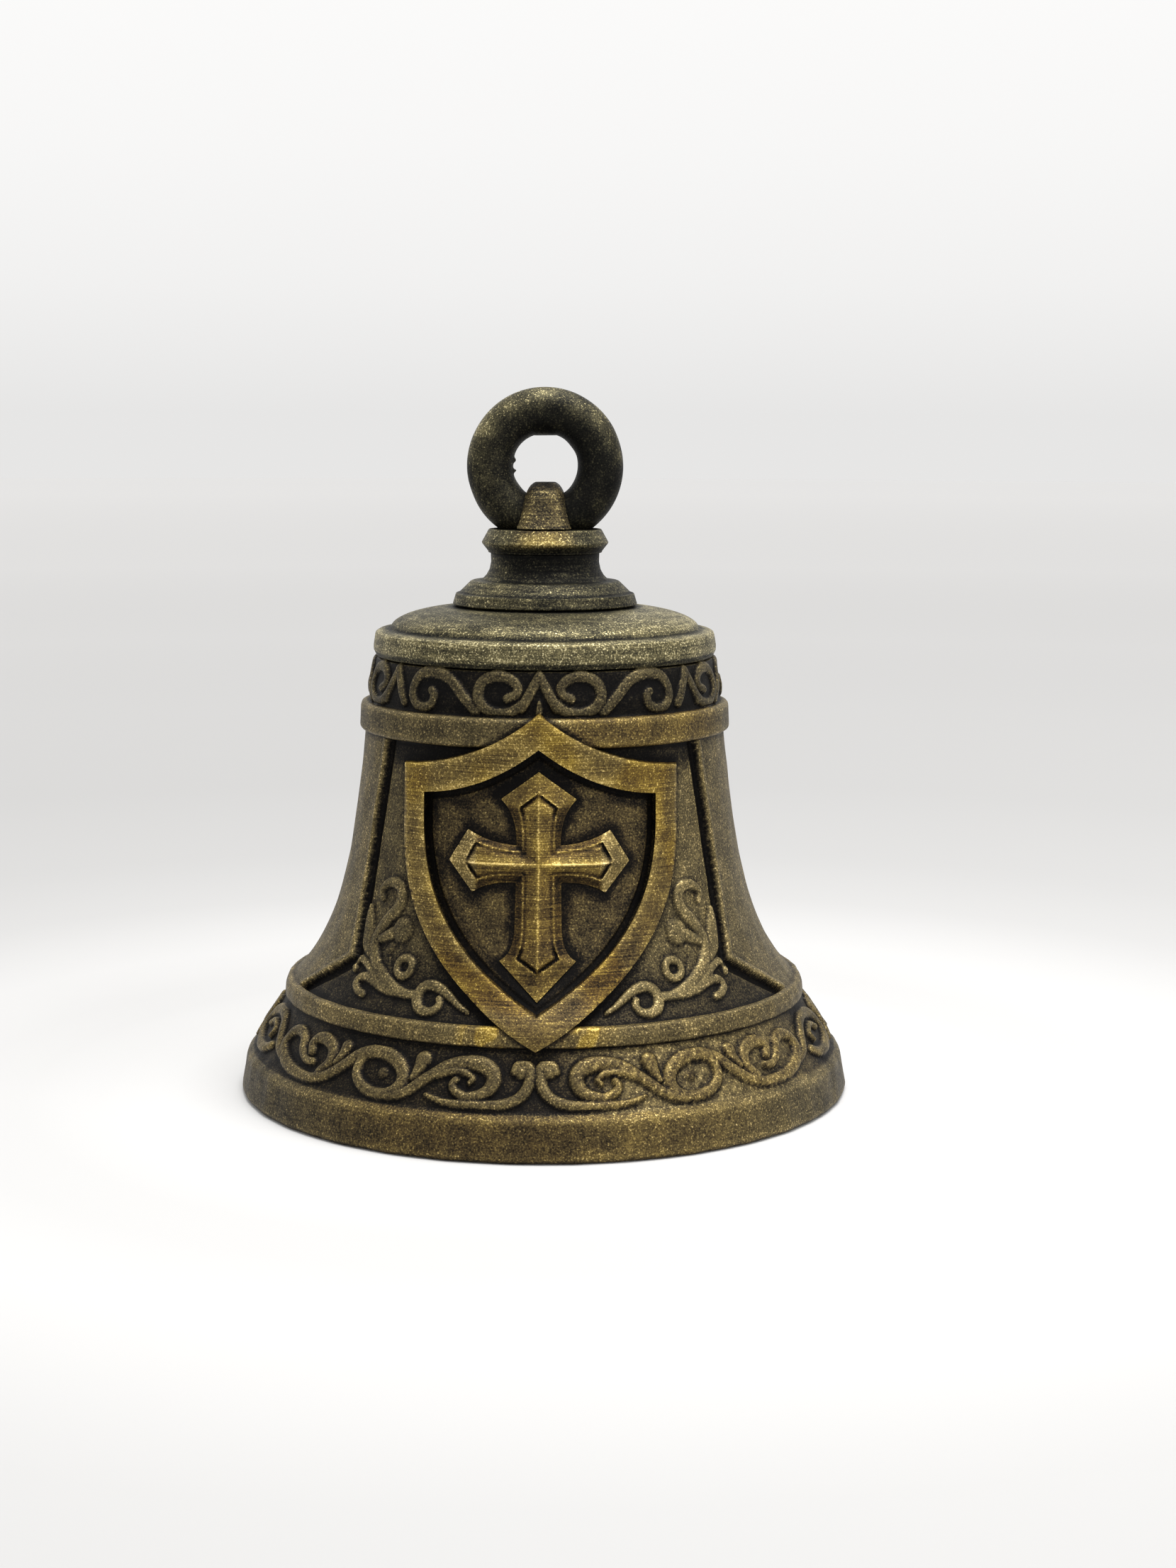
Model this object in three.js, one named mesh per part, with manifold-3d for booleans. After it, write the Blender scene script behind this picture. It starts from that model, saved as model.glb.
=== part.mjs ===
// A small church bell: a cast body with a shield and cross on two sides, a domed shoulder cap,
// a turned stem that carries a closed hanging ring under a saddle, and a clapper inside.
// Millimetres, +Z up. The origin is the centre of the rim that the bell stands on, and the
// front shield faces -Y. Every turned outline is a list of [radius, height] pairs that runs
// anticlockwise round the section, from the lowest outer point up.
import * as THREE from 'three';
import { mergeVertices } from 'three/addons/utils/BufferGeometryUtils.js';
import Module from 'manifold-3d';

const wasm = await Module();
wasm.setup();

// ---------------------------------------------------------------- driving dimensions

const GAP = 0.3; // left between two pieces that touch
const BELL_SIDES = 48; // flats round the body and the cap
const STEM_SIDES = 36;
const SMALL_SIDES = 16; // flats round bolts, pins and the ball
const WAIST_STEPS = 7;

const LIP_RADIUS = 50;
const LIP_TOP = 6.2; // height of the plain band at the rim
const BAND_TOP_RADIUS = 49;
const WAIST_FOOT = 18.9; // height of the lower moulding's top edge
const WAIST_HEAD = 59.3; // height of the upper band's lower edge
const CROWN_TOP = 70.9; // flat top of the cast body, under the cap
const CROWN_THICKNESS = 3.5;
const WALL = 3.9; // thickness of the waist, square to its outline
const PANEL_DEPTH = 0.8; // how far the front and back panels are sunk
const SHIELD_RISE = 1.0; // how far the shield stands above the side panels
const CROSS_RISE = 1.3;

const CAP_RIM_RADIUS = 27.8;
const CAP_SEAT = 79.3; // flat on the dome, under the stem's foot
const STEM_FOOT_RADIUS = 14.95;
const STEM_NECK_RADIUS = 8.65;
const PLATE_RADIUS = 10.25;
const PLATE_TOP = 91.5;

const RING_CENTRE_HEIGHT = 101.6;
const RING_RADIUS = 8.95; // centre line of the ring's wire
const RING_WIRE = 3.65; // radius of the wire
const RING_CLEARANCE = 0.35;
const RING_AXIS_HEIGHT = RING_CENTRE_HEIGHT - RING_RADIUS;

const SADDLE_TOP = 99;
const SADDLE_FOOT_HALF_WIDTH = 4.65;
const SADDLE_FOOT_HALF_DEPTH = 8.3;
const SADDLE_PIN_OFFSET = 5.7;
const SADDLE_PIN_RADIUS = 0.8;
const SADDLE_PIN_UP = 1.6; // how far each pin reaches into the saddle's foot

const STUD_RADIUS = 2.2;
const STUD_TOP = 86.5;
const PIN_HEIGHT = 55; // the clapper's pivot
const PIN_RADIUS = 1.2;
const EAR_HALF_GAP = 2.3;
const EAR_THICKNESS = 1.8;
const SHANK_RADIUS = 1.5;
const BALL_HEIGHT = 15.5;
const BALL_RADIUS = 6.5;

const RIVET_RADIUS = 0.6;
const RIVET_SIDES = 8;
const SHIELD_RIVETS = [[19.4, 50.5], [-19.4, 50.5], [11.2, 25.6], [-11.2, 25.6]]; // [x, height]
const CROSS_RIVETS = [[0, 48.5], [0, 31.5]];

const radians = THREE.MathUtils.degToRad;

// ---------------------------------------------------------------- solids

function solid(geometry) {
  geometry.deleteAttribute('normal');
  geometry.deleteAttribute('uv');
  const merged = mergeVertices(geometry, 1e-4);
  const index = merged.index.array;
  const triangles = [];
  for (let i = 0; i < index.length; i += 3) {
    const [a, b, c] = index.subarray(i, i + 3);
    if (a !== b && b !== c && c !== a) triangles.push(a, b, c);
  }
  return new wasm.Manifold(new wasm.Mesh({
    numProp: 3,
    vertProperties: merged.attributes.position.array,
    triVerts: Uint32Array.from(triangles),
  }));
}

// A solid of revolution about Z.
function turned(profile, sides) {
  const points = profile.map(([r, z]) => new THREE.Vector2(r, z));
  return solid(new THREE.LatheGeometry(points, sides).rotateX(Math.PI / 2));
}

// An outline in X and Z, extruded from y = from to y = to.
function slab(shape, from, to) {
  const settings = { depth: to - from, bevelEnabled: false, curveSegments: 5 };
  const geometry = new THREE.ExtrudeGeometry(shape, settings).rotateX(Math.PI / 2);
  return solid(geometry.translate(0, to, 0));
}

// A cylinder along Z with its lower end at height from.
function rod(radius, from, to, sides = SMALL_SIDES) {
  const geometry = new THREE.CylinderGeometry(radius, radius, to - from, sides);
  return solid(geometry.rotateX(Math.PI / 2).translate(0, 0, (from + to) / 2));
}

function box(width, depth, height, x, y, z) {
  return solid(new THREE.BoxGeometry(width, depth, height).translate(x, y, z));
}

// A solid carried by a three.js matrix.
function carried(piece, matrix) {
  return piece.transform(matrix.elements);
}

// ---------------------------------------------------------------- scene graph

const MATERIALS = {
  bronze: { color: 0x4a4128, roughness: 0.55, metalness: 0.75 },
  gilded: { color: 0x7d6b35, roughness: 0.45, metalness: 0.85 },
  steel: { color: 0x77756e, roughness: 0.4, metalness: 0.9 },
};

function piece(name, material, shape) {
  const { vertProperties, triVerts } = shape.getMesh();
  const geometry = new THREE.BufferGeometry();
  geometry.setAttribute('position', new THREE.BufferAttribute(vertProperties, 3));
  geometry.setIndex(new THREE.BufferAttribute(triVerts, 1));
  geometry.computeVertexNormals();
  const mesh = new THREE.Mesh(geometry, new THREE.MeshStandardMaterial(MATERIALS[material]));
  mesh.name = name;
  return mesh;
}

// ---------------------------------------------------------------- cast body

// The waist's outline on the side panels, from the lower moulding up to the upper band.
const WAIST = new THREE.CubicBezierCurve(
  new THREE.Vector2(41, WAIST_FOOT),
  new THREE.Vector2(32.6, 27.5),
  new THREE.Vector2(31, 42),
  new THREE.Vector2(29.15, WAIST_HEAD),
);

function waist(offset, steps) {
  return WAIST.getPoints(steps).map((p) => [p.x + offset, p.y]);
}

// Place on the waist at a height: its radius and the outline's outward normal.
function wallAt(height) {
  let [low, high] = [0, 1];
  while (high - low > 1e-6) {
    const middle = (low + high) / 2;
    if (WAIST.getPoint(middle).y < height) low = middle;
    else high = middle;
  }
  const tangent = WAIST.getTangent(low);
  return { radius: WAIST.getPoint(low).x, out: tangent.y, up: -tangent.x };
}

const LOWER_MOULDING = [[42, 15.7], [42.75, 15.9], [42.6, 17.4], [42.1, 18.8], [41, WAIST_FOOT]];
const UPPER_BAND = [[29.7, 59.35], [30.1, 59.8], [29.9, 63.5], [29.5, 63.9], [28.4, 64]];

const OUTSIDE = [
  [LIP_RADIUS - 0.6, 0], [LIP_RADIUS, 0.6], [BAND_TOP_RADIUS, LIP_TOP],
  [BAND_TOP_RADIUS - 1.2, LIP_TOP + 1.1],
  ...LOWER_MOULDING, ...waist(0, WAIST_STEPS).slice(1), ...UPPER_BAND,
  [28.3, 66.5], [27.3, CROWN_TOP],
];

function innerWaist(steps) {
  return WAIST.getPoints(steps).map((p, i) => {
    const tangent = WAIST.getTangent(i / steps);
    return [p.x - WALL * tangent.y, p.y + WALL * tangent.x];
  });
}

const INSIDE = [
  [STUD_RADIUS + GAP, CROWN_TOP], [STUD_RADIUS + GAP, CROWN_TOP - CROWN_THICKNESS],
  [22.5, CROWN_TOP - CROWN_THICKNESS], [24.6, 66], ...innerWaist(WAIST_STEPS).reverse(),
  [42.3, 9.5], [45, 2.5], [45.3, 0],
];

// The front panel's outline: straight sides that lean out, and corners that run to the moulding.
function panelShape() {
  return new THREE.Shape([
    new THREE.Vector2(-38.6, WAIST_FOOT + 0.1), new THREE.Vector2(38.6, WAIST_FOOT + 0.1),
    new THREE.Vector2(29.6, 25.3), new THREE.Vector2(24.3, WAIST_HEAD - 0.1),
    new THREE.Vector2(-24.3, WAIST_HEAD - 0.1), new THREE.Vector2(-29.6, 25.3),
  ]);
}

function rivetMatrix([x, height]) {
  const { radius, out, up } = wallAt(height);
  const angle = Math.asin(x / radius);
  const matrix = new THREE.Matrix4().makeRotationZ(angle);
  const lean = new THREE.Matrix4().makeRotationX(Math.atan2(out, up));
  return matrix.multiply(lean.setPosition(0, -radius, height));
}

function bellBody() {
  const opposite = new THREE.Matrix4().makeRotationZ(Math.PI);
  const recess = turned([
    ...waist(-PANEL_DEPTH, WAIST_STEPS).map(([r, z]) => [r + 6, z]),
    ...waist(-PANEL_DEPTH, WAIST_STEPS).reverse(),
    [41 - PANEL_DEPTH + 6, WAIST_FOOT],
  ], BELL_SIDES).intersect(slab(panelShape(), -60, 0));
  let casting = turned([...OUTSIDE, ...INSIDE, OUTSIDE[0]], BELL_SIDES);
  casting = casting.subtract(recess).subtract(carried(recess, opposite));
  const bore = rod(RIVET_RADIUS + GAP, -7, 3, RIVET_SIDES);
  for (const place of [...SHIELD_RIVETS, ...CROSS_RIVETS]) {
    const hole = carried(bore, rivetMatrix(place));
    casting = casting.subtract(hole).subtract(carried(hole, opposite));
  }
  return casting;
}

// ---------------------------------------------------------------- shield, cross and rivets

// A heater shield: a point below, upright sides, and a top that rises to a point in the middle.
function shieldPath(path, { tip, belly, bulge, side, shoulder, dip, apex }) {
  const [width, knee] = side;
  path.moveTo(0, tip);
  path.bezierCurveTo(...belly, ...bulge, width, knee);
  path.lineTo(width, shoulder);
  path.quadraticCurveTo(...dip, 0, apex);
  path.quadraticCurveTo(-dip[0], dip[1], -width, shoulder);
  path.lineTo(-width, knee);
  path.bezierCurveTo(-bulge[0], bulge[1], -belly[0], belly[1], 0, tip);
  return path;
}

const SHIELD_OUTER = {
  tip: 15.6, belly: [19.5, 26.5], bulge: [21.6, 36.5], side: [21.1, 50], shoulder: 56.2,
  dip: [9, 57.2], apex: 64.8,
};
const SHIELD_INNER = {
  tip: 20.2, belly: [15.6, 28.9], bulge: [18.2, 38.5], side: [17.9, 50], shoulder: 52.1,
  dip: [8.2, 52.9], apex: 59.4,
};

// A cross with pointed ends: concave arms that widen to a corner each side of the point.
function crossShape() {
  const half = new THREE.Shape().moveTo(0, 21.9);
  half.lineTo(5.85, 27.55);
  half.quadraticCurveTo(3.9, 28.4, 3.6, 31.8);
  half.lineTo(3.45, 39.1);
  half.quadraticCurveTo(7.6, 39.2, 10.2, 37.4);
  half.lineTo(13.85, 42);
  half.lineTo(10.9, 46.8);
  half.quadraticCurveTo(7.8, 44.9, 3.35, 44.65);
  half.quadraticCurveTo(3.3, 49.4, 5.8, 51.6);
  half.lineTo(0, 55.8);
  const right = half.getPoints(4);
  const left = right.slice(1, -1).reverse().map((p) => new THREE.Vector2(-p.x, p.y));
  return new THREE.Shape([...right, ...left]);
}

// The skin that the shield and the cross are cut from: it follows the waist, and steps out over
// the moulding below and the band above.
function skin(rise) {
  const back = [
    [43.1, 14.5], [43.1, 16.2], [42.45, 19.2], ...waist(GAP - PANEL_DEPTH, WAIST_STEPS).slice(1, -1),
    [28.7, 58.9], [30.4, 59.1], [30.4, 64.2], [29, 64.4], [29, 66],
  ];
  const front = [
    [43 + rise, 14.5], [43 + rise, 16.2], [42 + rise, 19], ...waist(rise, WAIST_STEPS).slice(1, -1),
    [29.5 + rise, 58.5], [30.4 + rise, 60], [30.2 + rise, 66],
  ];
  return turned([...front, ...back.reverse(), front[0]], BELL_SIDES);
}

// Blind holes for the rivets, from the back of a plate that stands above the side panels.
function withRivetHoles(plate, places) {
  const bore = rod(RIVET_RADIUS + GAP, -2, 0.3, RIVET_SIDES);
  return places.reduce((rest, place) => rest.subtract(carried(bore, rivetMatrix(place))), plate);
}

function shieldBorder() {
  const shape = shieldPath(new THREE.Shape(), SHIELD_OUTER);
  shape.holes.push(shieldPath(new THREE.Path(), SHIELD_INNER));
  return withRivetHoles(skin(SHIELD_RISE).intersect(slab(shape, -60, 0)), SHIELD_RIVETS);
}

function cross() {
  return withRivetHoles(skin(CROSS_RISE).intersect(slab(crossShape(), -60, 0)), CROSS_RIVETS);
}

// A rivet with its head inside the bell. Its own axis starts at the wall and points out.
function rivet(wall) {
  const head = 2 * RIVET_RADIUS;
  return turned([
    [0, -wall - 0.8], [head * 0.7, -wall - 0.7], [head, -wall],
    [RIVET_RADIUS, -wall], [RIVET_RADIUS, 0], [0, 0],
  ], RIVET_SIDES);
}

// ---------------------------------------------------------------- cap and stem

function shoulderCap() {
  const rim = [
    [27.3, CROWN_TOP + GAP], [CAP_RIM_RADIUS, 72.2], [CAP_RIM_RADIUS, 72.9], [27.5, 74.9],
    [26.9, 75.3], [25.2, 75.5],
  ];
  const dome = [];
  for (const angle of [15, 35, 55, 75]) {
    dome.push([12 + 13 * Math.cos(radians(angle)), 75.5 + 3.6 * Math.sin(radians(angle))]);
  }
  const seat = [[14.2, CAP_SEAT], [STUD_RADIUS + GAP, CAP_SEAT]];
  const hole = [[STUD_RADIUS + GAP, CROWN_TOP + GAP]];
  return turned([...rim, ...dome, ...seat, ...hole, rim[0]], BELL_SIDES);
}

function hangingRing() {
  const geometry = new THREE.TorusGeometry(RING_RADIUS, RING_WIRE, 14, 36);
  return solid(geometry.rotateX(Math.PI / 2).translate(0, 0, RING_RADIUS));
}

// Room for the ring as it tilts: a solid turned about the hinge line, which lies along X through
// the middle of the ring's lowest wire. It is given by half its outline, from the middle out, as
// pairs of [distance along X, radius].
function tiltRoom(half) {
  const end = half.at(-1)[0];
  const lower = half.map(([x, r]) => [r, -x]).reverse();
  const upper = half.map(([x, r]) => [r, x]);
  const along = new THREE.Matrix4().makeRotationY(Math.PI / 2);
  const room = turned([[0, -end], ...lower, ...upper, [0, end]], 24);
  return carried(room, along.setPosition(0, 0, RING_AXIS_HEIGHT));
}

// Inside the saddle the room follows the edge of the ring's hole.
function saddleRoom() {
  const hole = RING_RADIUS - RING_WIRE;
  return tiltRoom([1, 2.2, 3.4, 4.3, 4.9].map((x) => (
    [x, RING_RADIUS - Math.sqrt(hole * hole - x * x) + RING_CLEARANCE]
  )));
}

// In the plate it is a groove that runs out where the ring rises above the plate's top.
function grooveRoom() {
  return tiltRoom([[2, 4.05], [4.5, 4.12], [6.3, 3.92], [7.3, 3.5], [8.3, 2.6], [9, 1.1]]);
}

function neckStem() {
  const foot = [
    [14.4, CAP_SEAT + GAP], [STEM_FOOT_RADIUS, 80.1], [14.45, 81.2], [13.9, 81.5], [12.1, 83],
    [11.8, 83.2],
  ];
  const neck = [[10.2, 83.3], [9.4, 84.1], [8.9, 85], [STEM_NECK_RADIUS, 86.2], [8.75, 87.3]];
  const plate = [
    [9.3, 87.9], [PLATE_RADIUS - 0.2, 89], [PLATE_RADIUS, 89.4], [9.95, 90.3], [9.05, PLATE_TOP],
  ];
  const stud = [
    [0, PLATE_TOP], [0, STUD_TOP + GAP], [STUD_RADIUS + GAP, STUD_TOP + GAP],
    [STUD_RADIUS + GAP, CAP_SEAT + GAP],
  ];
  const pinHole = rod(SADDLE_PIN_RADIUS + GAP, PLATE_TOP - 2.3, PLATE_TOP + 1, 12);
  const spot = new THREE.Matrix4();
  return turned([...foot, ...neck, ...plate, ...stud, foot[0]], STEM_SIDES)
    .subtract(grooveRoom())
    .subtract(carried(pinHole, spot.makeTranslation(0, SADDLE_PIN_OFFSET, 0)))
    .subtract(carried(pinHole, spot.makeTranslation(0, -SADDLE_PIN_OFFSET, 0)));
}

// ---------------------------------------------------------------- ring and saddle

// An arch over the ring's lowest point: wide feet front and back, and a rounded top.
function ringSaddle() {
  const foot = PLATE_TOP + GAP;
  const frontView = new THREE.Shape().moveTo(-SADDLE_FOOT_HALF_WIDTH, foot);
  frontView.lineTo(SADDLE_FOOT_HALF_WIDTH, foot);
  frontView.lineTo(3.05, 97.9);
  frontView.quadraticCurveTo(2.8, SADDLE_TOP, 1.5, SADDLE_TOP);
  frontView.lineTo(-1.5, SADDLE_TOP);
  frontView.quadraticCurveTo(-2.8, SADDLE_TOP, -3.05, 97.9);
  const sideView = new THREE.Shape().moveTo(-SADDLE_FOOT_HALF_DEPTH, foot);
  sideView.lineTo(SADDLE_FOOT_HALF_DEPTH, foot);
  sideView.quadraticCurveTo(6.4, 95.5, 5.6, 97);
  sideView.quadraticCurveTo(4.6, SADDLE_TOP, 2.5, SADDLE_TOP);
  sideView.lineTo(-2.5, SADDLE_TOP);
  sideView.quadraticCurveTo(-4.6, SADDLE_TOP, -5.6, 97);
  sideView.quadraticCurveTo(-6.4, 95.5, -SADDLE_FOOT_HALF_DEPTH, foot);
  const turn = new THREE.Matrix4().makeRotationZ(Math.PI / 2);
  const block = slab(frontView, -10, 10).intersect(carried(slab(sideView, -10, 10), turn));
  const pinHole = rod(SADDLE_PIN_RADIUS + GAP, foot - 1, foot + SADDLE_PIN_UP, 12);
  const spot = new THREE.Matrix4();
  return block.subtract(saddleRoom())
    .subtract(carried(pinHole, spot.makeTranslation(0, SADDLE_PIN_OFFSET, 0)))
    .subtract(carried(pinHole, spot.makeTranslation(0, -SADDLE_PIN_OFFSET, 0)));
}

// ---------------------------------------------------------------- crown staple and clapper

// A stud with a forked foot. The fork's two ears carry the clapper's pin.
function crownStaple() {
  const neck = PIN_HEIGHT + 4.6;
  const width = 6;
  const ear = box(width, EAR_THICKNESS, 4.6, 0, EAR_HALF_GAP + EAR_THICKNESS / 2, neck - 2.3);
  const lobe = new THREE.CylinderGeometry(width / 2, width / 2, EAR_THICKNESS, SMALL_SIDES);
  const end = solid(lobe.translate(0, EAR_HALF_GAP + EAR_THICKNESS / 2, 0));
  const fork = ear.add(carried(end, new THREE.Matrix4().makeTranslation(0, 0, PIN_HEIGHT)));
  const opposite = carried(fork, new THREE.Matrix4().makeRotationZ(Math.PI));
  const depth = 2 * (EAR_HALF_GAP + EAR_THICKNESS);
  const hole = new THREE.CylinderGeometry(PIN_RADIUS + GAP, PIN_RADIUS + GAP, 2 * depth, 16);
  return box(width, depth, 2.4, 0, 0, neck + 1)
    .add(fork).add(opposite)
    .add(rod(STUD_RADIUS, neck + 1.5, STUD_TOP))
    .subtract(solid(hole.translate(0, 0, PIN_HEIGHT)));
}

function washer(inner, outer, from, to, sides) {
  return turned([[outer, from], [outer, to], [inner, to], [inner, from], [outer, from]], sides);
}

function clapperPin() {
  const end = EAR_HALF_GAP + EAR_THICKNESS;
  return turned([
    [0, -end - 2.4], [PIN_RADIUS, -end - 2.4], [PIN_RADIUS, end + GAP], [2, end + GAP],
    [2, end + 1], [1.3, end + 1.5], [0, end + 1.5],
  ], 16);
}

// The shank's own origin is the pivot. Its eye lies across the pin, and the rod hangs below.
function clapperShank() {
  const eyeHalf = EAR_HALF_GAP - GAP;
  const eye = new THREE.CylinderGeometry(3.2, 3.2, 2 * eyeHalf, SMALL_SIDES);
  const hole = new THREE.CylinderGeometry(PIN_RADIUS + GAP, PIN_RADIUS + GAP, 8, 16);
  const foot = BALL_HEIGHT - PIN_HEIGHT - BALL_RADIUS - 2;
  return solid(eye).add(rod(SHANK_RADIUS, foot, -2, 16)).subtract(solid(hole));
}

function clapperBall() {
  const ball = new THREE.SphereGeometry(BALL_RADIUS, SMALL_SIDES, 14).rotateX(Math.PI / 2);
  return solid(ball).subtract(rod(SHANK_RADIUS + GAP, -10, 10, 16));
}

// A blind cap nut under the ball.
function clapperTail() {
  const top = -BALL_RADIUS - 0.1;
  return turned([
    [0, top - 4.4], [1.2, top - 4], [2.2, top - 2.8], [2.6, top - 1.2], [2.6, top],
    [SHANK_RADIUS + GAP, top], [SHANK_RADIUS + GAP, top - 2.3], [0, top - 2.3],
  ], 16);
}

// ---------------------------------------------------------------- assembly

const bell = new THREE.Group();

bell.add(
  piece('bell_body', 'bronze', bellBody()),
  piece('shoulder_cap', 'bronze', shoulderCap()),
  piece('neck_stem', 'bronze', neckStem()),
  piece('ring_saddle', 'bronze', ringSaddle()),
);

const ring = piece('hanging_ring', 'bronze', hangingRing());
ring.position.z = RING_AXIS_HEIGHT;
bell.add(ring);

for (const [name, side] of [['front', -1], ['back', 1]]) {
  const pin = piece(`saddle_pin_${name}`, 'steel', rod(SADDLE_PIN_RADIUS, -2, SADDLE_PIN_UP, 12));
  pin.position.set(0, side * SADDLE_PIN_OFFSET, PLATE_TOP);
  bell.add(pin);
}

for (const [name, turn] of [['front', 0], ['back', Math.PI]]) {
  const face = new THREE.Group();
  face.rotation.z = turn;
  face.add(piece(`shield_${name}`, 'gilded', shieldBorder()));
  face.add(piece(`cross_${name}`, 'gilded', cross()));
  SHIELD_RIVETS.forEach((place, i) => {
    const fixing = piece(`shield_rivet_${name}_${i + 1}`, 'bronze', rivet(WALL + GAP));
    fixing.applyMatrix4(rivetMatrix(place));
    face.add(fixing);
  });
  CROSS_RIVETS.forEach((place, i) => {
    const fixing = piece(`cross_rivet_${name}_${i + 1}`, 'bronze', rivet(WALL + GAP));
    fixing.applyMatrix4(rivetMatrix(place));
    face.add(fixing);
  });
  bell.add(face);
}

const crownUnderside = CROWN_TOP - CROWN_THICKNESS;
const nutTop = crownUnderside - GAP - 1.2 - GAP;
bell.add(
  piece('crown_staple', 'steel', crownStaple()),
  piece('staple_washer', 'steel',
    washer(STUD_RADIUS + GAP, 6, crownUnderside - GAP - 1.2, crownUnderside - GAP, SMALL_SIDES)),
  piece('staple_nut', 'steel',
    rod(4.6, nutTop - 3.4, nutTop, 6).subtract(rod(STUD_RADIUS + GAP, nutTop - 4, nutTop + 1))),
);

const pinAssembly = new THREE.Group();
pinAssembly.position.z = PIN_HEIGHT;
pinAssembly.rotation.x = Math.PI / 2;
pinAssembly.add(piece('clapper_pin', 'steel', clapperPin()));
const collarTop = -EAR_HALF_GAP - EAR_THICKNESS - GAP;
pinAssembly.add(piece('pin_collar', 'steel',
  washer(PIN_RADIUS + GAP, 2.4, collarTop - 1, collarTop, 16)));
bell.add(pinAssembly);

const clapper = new THREE.Group();
clapper.position.z = PIN_HEIGHT;
clapper.add(piece('clapper_shank', 'bronze', clapperShank()));
const bob = new THREE.Group();
bob.position.z = BALL_HEIGHT - PIN_HEIGHT;
bob.add(piece('clapper_ball', 'bronze', clapperBall()));
bob.add(piece('clapper_tail', 'bronze', clapperTail()));
clapper.add(bob);
bell.add(clapper);

export default bell;
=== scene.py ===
from math import cos, pi, radians, sin

import bpy
import numpy as np
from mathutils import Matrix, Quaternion, Vector
from mathutils.geometry import delaunay_2d_cdt


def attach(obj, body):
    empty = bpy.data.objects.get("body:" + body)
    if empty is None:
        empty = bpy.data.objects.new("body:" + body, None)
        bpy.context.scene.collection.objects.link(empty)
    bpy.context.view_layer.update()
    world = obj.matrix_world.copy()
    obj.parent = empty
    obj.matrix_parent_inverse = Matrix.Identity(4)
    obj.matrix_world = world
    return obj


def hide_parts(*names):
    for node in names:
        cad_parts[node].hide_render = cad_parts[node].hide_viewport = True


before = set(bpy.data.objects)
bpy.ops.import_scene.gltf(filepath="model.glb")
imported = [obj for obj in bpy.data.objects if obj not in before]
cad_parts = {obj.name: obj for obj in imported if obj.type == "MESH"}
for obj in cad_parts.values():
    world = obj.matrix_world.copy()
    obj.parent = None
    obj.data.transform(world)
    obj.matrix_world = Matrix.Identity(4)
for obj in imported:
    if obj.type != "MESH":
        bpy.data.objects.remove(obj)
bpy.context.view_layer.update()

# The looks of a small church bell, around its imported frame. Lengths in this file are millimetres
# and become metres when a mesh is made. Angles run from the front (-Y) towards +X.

MM = 0.001

# ---------------- driving dimensions

COLUMNS = 1152  # steps round the cast body; a multiple of four
FINE = 0.25  # spacing of the body's rows where there is relief
COARSE = 1.2
LIP_FLATS = 32
FLATNESS = 0.35  # share of a true polygon
LIP_TOP = 6.2
LIP_SHOULDER = 7.1
FRIEZE_HEAD = 15.7
WAIST_FOOT = 18.9
WAIST_HEAD = 59.3
BAND_TOP = 64
CROWN_TOP = 70.9
WALL = 3.9
PANEL_DEPTH = 0.8
SHIELD_RISE = 1.0  # above the side panels
CROSS_RISE = 1.3
CROSS_BEAM = 42  # height of the beam's ridge
CROSS_MIDDLE = 39.4  # halfway up the upright
RING_CENTRE = 101.6
RING_RADIUS = 8.95
RING_WIRE = 3.65
RING_HOLE = RING_RADIUS - RING_WIRE
HOLE_FLAT = 4.96  # height of the flat on top of the hole, over the ring's centre
RING_AXIS = RING_CENTRE - RING_RADIUS
HINGE_ROOM = 0.35
BALL_HEIGHT = 15.5
BALL_RADIUS = 6.5


# ---------------- curves

def bezier(*corners, steps=24):
    """Points of a quadratic or cubic Bezier curve, both ends included."""
    t = np.linspace(0, 1, steps + 1)[:, None]
    level = [np.array(c, float) * np.ones_like(t) for c in corners]
    while len(level) > 1:
        level = [a * (1 - t) + b * t for a, b in zip(level, level[1:])]
    return [tuple(p) for p in level[0]]


def joined(*parts, steps):
    """An outline of points; a part with several points is a Bezier curve from the point before."""
    out = []
    for part in parts:
        if isinstance(part[0], tuple):
            out += bezier(out[-1], *part, steps=steps)[1:]
        else:
            out.append(part)
    return out


def softened(points, cut):
    """An open outline with each corner rounded off over at most the length cut."""
    points = [np.array(p, float) for p in points]
    out = [points[0]]
    for before, corner, after in zip(points, points[1:], points[2:]):
        reach = [min(cut, 0.45 * np.linalg.norm(end - corner)) for end in (before, after)]
        start = corner + (before - corner) * reach[0] / max(np.linalg.norm(before - corner), 1e-9)
        end = corner + (after - corner) * reach[1] / max(np.linalg.norm(after - corner), 1e-9)
        out += [start, 0.25 * start + 0.5 * corner + 0.25 * end, end]
    return out + [points[-1]]


def lengths(points):
    """How far along an open outline each of its points lies."""
    steps = np.linalg.norm(np.diff(points, axis=0), axis=1)
    return np.concatenate([[0], np.cumsum(steps)])


def directions(points):
    along = np.gradient(points, axis=0)
    return along / np.linalg.norm(along, axis=1)[:, None]


def resampled(points, spacing):
    """Evenly spaced points along an open outline."""
    points = np.array(points, float)
    along = lengths(points)
    count = max(2, int(round(along[-1] / spacing)) + 1)
    at = np.linspace(0, along[-1], count)
    return np.stack([np.interp(at, along, points[:, k]) for k in range(points.shape[1])], 1)


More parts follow.
